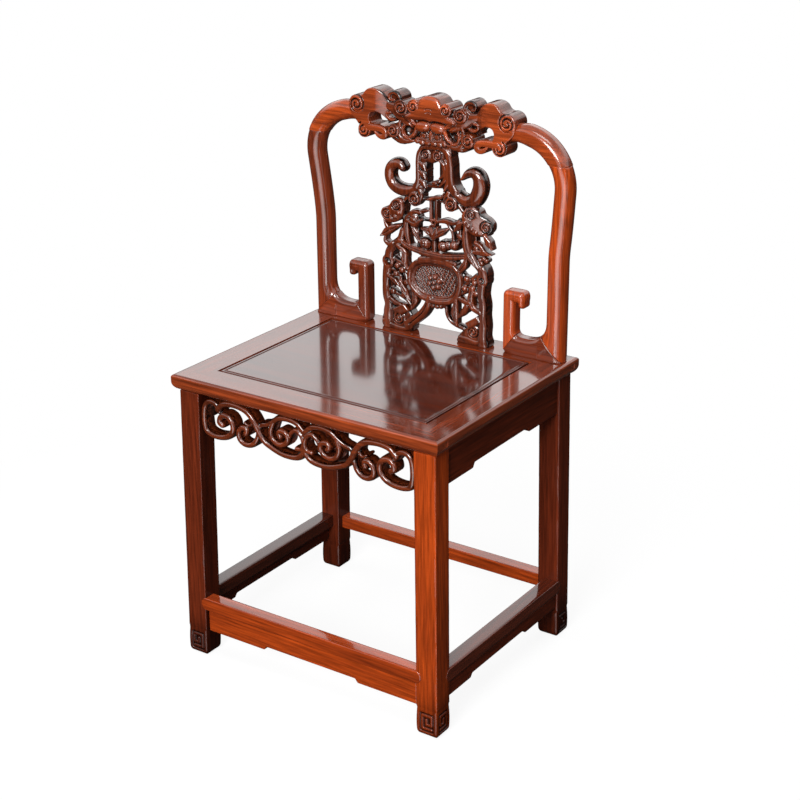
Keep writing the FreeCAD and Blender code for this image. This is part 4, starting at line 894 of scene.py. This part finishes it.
    # cloud feet, each with a scroll and a folded leaf over it
    board.plate([(-100, 499), (-100, 527), (-88, 539), (-71, 541), (-56, 547), (-47, 538), (-40, 527), (-40, 512),
                 (-47, 499)], -4, 4, 7)
    board.volute(-67, 521, 12, 150, 1.8, 1, 0.8)
    board.plate([(-79, 534), (-58, 548), (-47, 538), (-63, 528)], 2, 1.5, 4, curved=False)
    board.strand([(-99, 512), (-82, 505), (-60, 503), (-42, 509)], [6, 9, 8, 6], -2, 3.5)
    board.plate([(50, 499), (50, 512), (62, 526), (70, 537), (88, 549), (100, 542), (104, 520), (104, 499)], -4, 4, 7)
    board.volute(79, 524, 11, 30, 1.8, -1, 0.8)
    board.plate([(64, 537), (87, 552), (94, 543), (72, 529)], 2, 1.5, 4, curved=False)
    board.strand([(52, 510), (66, 509), (84, 506), (101, 512)], [6, 9, 8, 6], -2, 3.5)
    # the branch and the curl that carry the cartouche
    board.leaf([(-49, 513), (-33, 526), (-20, 538), (-10, 554), (-6, 569)], [16, 16, 15.5, 14, 11], -0.5, 4.5, 17,
               [(-45, 515), (-32, 527), (-19, 540), (-10, 557)], 2.4)
    board.tube([(27, 570), (26.5, 547), (33, 535), (44, 529), (60, 525)], [10, 9.5, 9.5, 10, 10], 0, 15)
    # cartouche with a hatched field and a flower, under its ledge
    loop = np.array([(-46, 598), (-43.5, 611), (-35, 622), (-21.5, 629), (0.5, 632), (23, 632), (40, 628), (51, 618),
                     (54, 605), (52, 590), (45, 575), (33, 567), (13, 563), (-7, 563.5), (-24.5, 568), (-38, 578),
                     (-44.5, 588)])
    middle = np.array((4, 597.5))
    inner = middle + (loop - middle) * (0.84, 0.78)
    board.plate(loop, 0, deep=15)
    field = outline_distance(board.x, board.z, smooth_loop(inner)) < 0
    slope = np.abs((1.4 * board.x + board.z) / (1.72 * SLOPE_SPACING) % 1 - 0.5) * 2
    brick = np.abs((board.x - 0.5 * board.z) / (1.12 * BRICK_SPACING) % 1 - 0.5) * 2
    hatch = np.maximum(eased(slope, 0.35, 0.8), eased(brick, 0.45, 0.85) * eased(board.x, 14, 18))
    board.top = np.where(field, FIELD_LEVEL + HATCH_HIGH * hatch, board.top)
    board.strand([*loop, loop[0]], 8.5, 0.8, 3.2, deep=15)
    board.strand([*inner, inner[0]], 2.4, -1.8, 1.6, deep=12)
    board.strand([(-26, 631.5), (0.5, 635), (25, 635), (44, 633)], [6, 8, 8, 6], 1.5, 1.5, deep=17)
    for x, z in ((-20, 638), (12, 638), (40, 640)):
        board.oval(x, z, 7, 5, -4, 2, deep=11)
    board.oval(3, 595.5, 6, 6, -2, 3)
    for k in range(6):
        angle = 2 * math.pi * (k + 0.3) / 6
        board.oval(3 + 9.5 * math.cos(angle), 595.5 + 9.5 * math.sin(angle), 4.9, 4.9, -1, 5)
    board.oval(3, 595.5, 4.2, 4.2, 0.5, 4)
    for x, z in ((-8, 557), (0, 555.5), (8, 555.5), (15.5, 557), (22.5, 560)):
        board.oval(x, z, 4.8, 6, -2, 4.5, deep=11)
    board.keep_between(SEAT, SEAT + 330)
    return board.made(span("back_splat")[0][1])


# Pierced apron: centre lines as x and drop below the seat, with widths and heights
TENDRILS = (
    ([(169, 19), (158, 9), (140, 5.5), (118, 8), (104, 16), (95, 28), (88, 41), (78, 54), (64, 61), (46, 66.5),
      (28, 67.5), (12, 64), (3, 55), (1, 44)], 10, (2, 2, 2, 0, 0, 2)),
    ([(-3, 28), (4, 17), (16, 8), (34, 5.5), (50, 9), (62, 18), (74, 25), (84, 28), (91, 37), (92, 48), (97, 59),
      (106, 66), (117, 67), (126, 62), (129, 53), (126, 44), (118, 39), (112, 42), (114, 48)], 9.5, (0, 1, -3, 1, 2)),
    ([(167, 23), (173, 13), (184, 10), (194, 16), (198, 30), (198, 49), (194, 62), (180, 67), (163, 66), (150, 61),
      (141, 51), (140, 39), (146, 30), (156, 27), (164, 32), (166, 40), (161, 44)], 10, (0, 1, 1, 2, 3)),
    ([(61, 20), (65, 33), (61, 45), (50, 51), (38, 48), (31, 39), (34, 30), (43, 27), (48, 32), (45, 37)], 9,
     (0, 2, 3)),
    ([(31, 39), (24, 26), (14, 20), (5, 26), (1, 38), (5, 48), (14, 50)], 8, (0, 2, 2)),
    ([(104, 16), (102, 28), (108, 34), (116, 30)], (7, 7, 6, 4), (-2, 0)),
)
TENDRIL_FULLER, TENDRIL_LEVEL, TENDRIL_RISE = 1.2, -3, 5.5
APRON_BACK, APRON_EDGE = 1.5, 3.0


def carve_apron():
    """The pierced front apron, with its painted shade and highlights at each point."""
    low, high = span("apron_front_carved")
    board = Relief((-208, 396), (208, UNDER_SEAT + 4), high[1] - low[1])
    for _, side in SIDES:
        board.side = side
        for points, width, level in TENDRILS:
            line = [(x, UNDER_SEAT - drop) for x, drop in points]
            board.strand(line, np.atleast_1d(width) + TENDRIL_FULLER, np.array(level) + TENDRIL_LEVEL, TENDRIL_RISE)
    board.keep_between(0, UNDER_SEAT)
    return board.made(low[1] + APRON_BACK, APRON_EDGE)


# Frame members
LEG_WIDE, LEG_DEEP = 37, 35
LEG_SPLAY = (7, 5)
LEG_PROUD, LEG_EDGE, LEG_STEP = 0.6, 1.2, 0.8
FOOT_HIGH, FOOT_ROUND, FOOT_EDGE, FOOT_SWELL, FOOT_PROUD = 48, 10, 4.5, 0.9, 0.1
NOTCH_HIGH, NOTCH_DEEP, NOTCH_EASE = 3, 0.5, 0.6
FRET = [(8.5, 14.5), (-8.5, 14.5), (-8.5, 37), (8.5, 37), (8.5, 22), (-1, 22), (-1, 30)]
# the fret's line width and depth, and the painted shade in its sunk ground
FRET_LINE, FRET_DEEP, FRET_SHADE = 3.2, 1.8, 0.95
FRET_HALF, FRET_LOW, FRET_HIGH, FRET_CORNER = 13.3, 8.5, 43, 4
# where the walls round the sunk panel and beside its scroll begin and end
PANEL_WALL, SCROLL_WALL = (-1.2, 0.2), (-0.4, 0.9)
# painted shade on the legs: at the foot, on its sides, low on the front legs' sides and on the sides that face inwards
FOOT_SHADE, FOOT_SIDE_SHADE, LOW_SHADE, INNER_SHADE = 0.55, 0.8, 0.42, 0.58
# heights over which the first three fade
FOOT_FADE, FOOT_SIDE_FADE, LOW_FADE = (30, 90), (30, 120), (110, 340)


def fret_height(u, v):
    """Depth of the sunk panel on a foot, which leaves a square scroll standing in it."""
    panel = rounded(np.abs(u) - FRET_HALF, between(v, FRET_LOW, FRET_HIGH), FRET_CORNER)
    line = line_distance(u, v, FRET) - FRET_LINE / 2
    return -FRET_DEEP * (1 - eased(panel, *PANEL_WALL)) * eased(line, *SCROLL_WALL)


def make_leg(node, side, end):
    """One splayed leg with its carved foot, and the painted shade at each point."""
    low, high = span(node)
    floor_x, floor_y = np.maximum(np.abs(low), np.abs(high))[:2]

    def across(x, y, z):
        lean = z / UNDER_SEAT
        return (side * x - (floor_x - LEG_SPLAY[0] * lean - LEG_WIDE / 2),
                end * y - (floor_y - LEG_SPLAY[1] * lean - LEG_DEEP / 2))

    x, y, z, start = grid_over((*(low[:2] - 2), 0), (*(high[:2] + 2), UNDER_SEAT), LEG_STEP)
    u, v = across(x, y, z)
    above = eased(z, FOOT_HIGH - NOTCH_EASE, FOOT_HIGH + NOTCH_EASE)
    foot = 1 - above
    notch = above - eased(z, FOOT_HIGH + NOTCH_HIGH - 1, FOOT_HIGH + NOTCH_HIGH)
    swell = foot * (FOOT_SWELL * np.sin(np.pi * np.clip(z / FOOT_HIGH, 0, 1)) + FOOT_PROUD)
    swell = LEG_PROUD + swell - NOTCH_DEEP * notch
    on_side = foot * fret_height(v[0], z[0])[None]
    on_front = foot * fret_height(u[:, 0], z[:, 0])[:, None]
    wide = np.abs(u) - LEG_WIDE / 2 - swell - np.where(u > 0, on_side, 0)
    deep = np.abs(v) - LEG_DEEP / 2 - swell - np.where(v > 0, on_front, 0)
    field = rounded(rounded(wide, deep, LEG_EDGE + (FOOT_EDGE - LEG_EDGE) * foot), -z, FOOT_ROUND)
    points, faces = surface(np.maximum(field, z - UNDER_SEAT), start, LEG_STEP)
    z = points[:, 2]
    u, v = across(*points.T)
    # painted shade in the fret's sunk ground and towards the floor
    sunk = -np.where(u - LEG_WIDE / 2 > v - LEG_DEEP / 2, fret_height(v, z), fret_height(u, z)) / FRET_DEEP
    faces_out = (u > LEG_WIDE / 2 - 3) | (v > LEG_DEEP / 2 - 3)
    dark = np.where(faces_out & (z < FOOT_HIGH), FRET_SHADE * sunk, 0)
    dark = np.maximum(dark, FOOT_SHADE * (1 - eased(z, *FOOT_FADE)))
    # painted shade on the sides: low on every foot, low on the front legs and all along the inward faces
    at_sides = np.abs(u) - LEG_WIDE / 2 > np.abs(v) - LEG_DEEP / 2
    shade = FOOT_SIDE_SHADE * (1 - eased(z, *FOOT_SIDE_FADE))
    shade = np.maximum(shade, LOW_SHADE * (end < 0) * (1 - eased(z, *LOW_FADE)))
    shade = np.where(u < 0, np.maximum(shade, INNER_SHADE), shade)
    return [(points, faces)], np.where(at_sides, np.maximum(dark, shade), dark)


def make_board(along, low, high, step, edge, ends=0.0, bottom=None):
    """A board with rounded edges, rounded ends and a shaped lower edge, lying along X or Y."""
    x, y, z, start = grid_over(low, high, step)
    run, depth = (x, y) if along == 0 else (y, x)
    other = 1 - along
    floor = low[2] if bottom is None else bottom(run)
    flat = rounded(between(run, low[along], high[along]), between(z, floor, high[2]), max(ends, edge))
    return [surface(rounded(flat, between(depth, low[other], high[other]), edge), start, step)]


RISE_EASE = 3.5


def raised(low, rise, start, end):
    """A lower edge that steps up between two places along it."""
    return lambda run: low + rise * (1 - eased(between(run, start, end), -RISE_EASE, RISE_EASE))


PANEL_STEP, PANEL_EDGE = 0.8, 0.8
PANEL_TONGUE, TONGUE_DROP, TONGUE_EDGE = 10.5, 6.2, 0.5
GROOVE_INSET, GROOVE_HALF = 5, 1.1


def make_panel():
    """The floating panel on its tongue, with a fine groove just inside its edge."""
    low, high = span("seat_panel")
    x, y, z, start = grid_over(low, high, PANEL_STEP)
    flat = np.maximum(between(x, low[0], high[0]), between(y, low[1], high[1]))
    tongue = rounded(flat, between(z, low[2], high[2] - TONGUE_DROP), TONGUE_EDGE)
    field = rounded(flat + PANEL_TONGUE, between(z, low[2], high[2]), PANEL_EDGE)
    groove = np.hypot(flat + PANEL_TONGUE + GROOVE_INSET, z - high[2]) - GROOVE_HALF
    return [surface(np.maximum(np.minimum(tongue, field), -groove), start, PANEL_STEP)]


BACK_STEP = 0.9
BAR_HIGH, BAR_ROUND = 29, 8.5
POST_FILLET, HOOK_FILLET, TIP_FILLET = 36, 12, 3
HOOK_HIGH, HOOK_TIP = SEAT + 106, 172.5
# the mitre with the hook rises by the second number for the first along the bar
HOOK_MITRE = (22, 30)
POST_SEAM, HOOK_SEAM = 0.05, 0.15


def make_back_side(side):
    """Post, base bar and hook of one side, cut from one outline along their mitres."""
    low, high = sorted((side * 126, side * 258))
    bar_back = span("back_bar_left")[1][1]
    x, y, z, start = grid_over((low, POST_FRONT - LEAN, SEAT), (high, POST_BACK, JOINT), BACK_STEP)
    u = side * x
    post = line_distance(u, z, bent_line(ARCH, ARCH_BENDS)) - ARCH_HALF
    post = np.where(z < SEAT + POST_STRAIGHT, np.abs(u - POST_X) - ARCH_HALF, post)
    bar = np.maximum(between(u, 148, 220), z - SEAT - BAR_HIGH)
    upright = rounded(between(u, 132.5, 155), between(z, SEAT - 2, HOOK_HIGH), 9.5)
    arm = rounded(between(u, 140, HOOK_TIP), between(z, HOOK_HIGH - 20, HOOK_HIGH), 8)
    tip = rounded(between(u, HOOK_TIP - 12, HOOK_TIP), between(z, HOOK_HIGH - 28, HOOK_HIGH - 6), 5)
    curl = blended(np.minimum(upright, arm), tip, TIP_FILLET)
    frame_side = np.where(u < POST_X, blended(bar, post, POST_FILLET), np.minimum(bar, post))
    flat = blended(frame_side, curl, HOOK_FILLET)
    thick = rounded(flat, arch_depth(y, z), ARCH_ROUND)
    thin = rounded(flat, between(y, POST_FRONT, bar_back), BAR_ROUND)
    at_post = (u + z - SEAT - 242) / math.sqrt(2)
    at_hook = ((z - SEAT) * HOOK_MITRE[0] - (u - 133) * HOOK_MITRE[1]) / math.hypot(*HOOK_MITRE)
    post = np.maximum(np.maximum(thick, POST_SEAM - at_post), z - JOINT)
    bar = np.maximum(blended(thin, np.maximum(thick, 200 - u), 1), at_post + POST_SEAM)
    bar = np.maximum(bar, at_hook + HOOK_SEAM)
    hook = np.maximum(np.maximum(thin, HOOK_SEAM - at_hook), u - 185)
    return [[surface(np.maximum(field, SEAT - z), start, BACK_STEP, 0)] for field in (post, bar, hook)]


make_camera()
make_world()
make_floor()
make_lamp("key", (0.7, -3.05, 2.0), (0.05, 0, 0.45), 1.3, 1.3, 170)
make_lamp("overhead", (0.5, -0.9, 2.7), (0.1, 0.1, 0.6), 1.2, 0.6, 22)
make_lamp("strip", (1.25, -0.75, 0.5), (0.1, 0.1, 0.5), 0.12, 1.0, 1)
make_lamp("left", (-2.2, -0.3, 0.9), (0, 0, 0.6), 1.5, 1.8, 40, mirrored=False)
make_lamp("shade_behind", (-0.2, 3.2, 0.9), (0, 0, 0.5), 2.4, 1.2, 100, mirrored=False)

FRAME, CARVED, PANEL = "wood_frame", "wood_carved", "wood_panel"
# part wood that differs from piece to piece, part painted shade: the dull, brown and umber tones darken the left-hand,
# rear and inward-facing pieces where less light falls, against the orange of the front right leg and the right post and
# hook
LOOKS = {
    # grain direction, tone and finish, and the tone of plain parts where there are any
    ("X", "crest", "crest", "red"): "crest_rail",
    ("Z", "carved", "carved"): "back_splat",
    ("X", "tendril", "carved"): "apron_front_carved",
    ("X", "dull", "satin"): "back_bar_left back_bar_right",
    ("Z", "dull", "satin"): "back_hook_left back_post_left",
    ("Z", "orange", "satin"): "back_hook_right back_post_right",
    ("X", "panel", "seat"): "seat_panel",
    ("X", "red", "seat", "dull"): "seat_rail_back seat_rail_front",
    ("Y", "red", "seat", "dull"): "seat_rail_left seat_rail_right",
    ("Y", "brown", "seat"): "seat_batten_left seat_batten_right",
    ("Z", "brown", "waxed"): "leg_back_left leg_back_right leg_front_left",
    ("Z", "orange", "waxed"): "leg_front_right",
    ("X", "brown", "waxed"): "apron_back",
    ("Y", "brown", "waxed"): "apron_left apron_right skirt_right",
    ("Y", "umber", "waxed"): "skirt_left",
    ("X", "orange", "waxed"): "skirt_front",
    ("X", "orange", "polished"): "stretcher_back stretcher_front",
    ("Y", "umber", "polished"): "stretcher_left",
    ("Y", "brown", "polished"): "stretcher_right",
}
# each piece has the grain of another place in the wood
SHIFT, SHOULDER_SHIFT = (0.37, 0.21, 0.53), (0.11, 0.47, 0.29)
look_of = {name: look for look, names in LOOKS.items() for name in names.split()}
materials = {}
for order, name in enumerate(sorted(look_of)):
    materials[name] = wood(f"wood_{name}", [share * order for share in SHIFT], *look_of[name])
shoulder = wood("wood_shoulders", SHOULDER_SHIFT, "X", "amber", "shoulder")

shapes, recess, plain = carve_crest()
piece("crest_rail", shapes, CARVED, shoulder, recess=recess, plain=plain)
for name, carve in (("back_splat", carve_splat), ("apron_front_carved", carve_apron)):
    shapes, recess = carve()
    piece(name, shapes, CARVED, recess=recess)
piece("seat_panel", make_panel(), PANEL)
for side_name, side in SIDES:
    for kind, shapes in zip(("back_post", "back_bar", "back_hook"), make_back_side(side)):
        piece(f"{kind}_{side_name}", shapes, FRAME)
    for end_name, end in (("front", -1), ("back", 1)):
        name = f"leg_{end_name}_{side_name}"
        shapes, dark = make_leg(name, side, end)
        piece(name, shapes, FRAME, recess=dark)

# Stretchers run over the legs with rounded tongues, and the boards between the legs reach just up to them
ALONG_X, ALONG_Y = 0, 1
BOARD_STEP, APRON_STEP = 0.9, 1.0
STRETCHER_INNER, STRETCHER_PROUD, STRETCHER_EDGE = (209.4, 169.4), 1.1, 1.3
TONGUE, TONGUE_ROUND, BACK_TONGUE = 8.5, 10.0, 2
SKIRT_REACH, SKIRT_SLIT, SKIRT_RISE = (208.6, 168.6), 3, 6.5
APRON_LAP, APRON_RISE = 2, 8
BOARD_EDGE = 2.0
for name, along in (("front", ALONG_X), ("back", ALONG_X), ("left", ALONG_Y), ("right", ALONG_Y)):
    node = f"stretcher_{name}"
    low, high = span(node)
    tongue, ends = (BACK_TONGUE, 0) if name == "back" else (TONGUE, TONGUE_ROUND)
    high[along] = STRETCHER_INNER[along] + tongue
    low[along] = -high[along]
    low[1 - along] -= STRETCHER_PROUD * (name in ("front", "left"))
    high[1 - along] += STRETCHER_PROUD * (name == "right")
    piece(node, make_board(along, low, high, BOARD_STEP, STRETCHER_EDGE, ends), FRAME)
for name, along, start, end in (("front", ALONG_X, -88, 94), ("left", ALONG_Y, -100, 65), ("right", ALONG_Y, -100, 65)):
    node = f"skirt_{name}"
    low, high = span(node)
    high[along] = SKIRT_REACH[along]
    low[along] = -high[along] + SKIRT_SLIT * (name == "front")
    high[2] = span(f"stretcher_{name}")[0][2] + 1
    bottom = raised(low[2], SKIRT_RISE, start, end)
    piece(node, make_board(along, low, high, BOARD_STEP, BOARD_EDGE, bottom=bottom), FRAME)
for name, along, start, end in (("back", ALONG_X, -110, 110), ("left", ALONG_Y, -88, 75), ("right", ALONG_Y, -88, 75)):
    node = f"apron_{name}"
    low, high = span(node)
    low[along] -= APRON_LAP
    high[along] += APRON_LAP
    bottom = raised(low[2], APRON_RISE, start, end)
    piece(node, make_board(along, low, high, APRON_STEP, BOARD_EDGE, bottom=bottom), FRAME)

# The seat rails and battens are shown as they are in CAD
for name in sorted(look_of):
    if name.startswith(("seat_rail", "seat_batten")):
        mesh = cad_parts[name].data
        mesh.materials.clear()
        mesh.materials.append(materials[name])
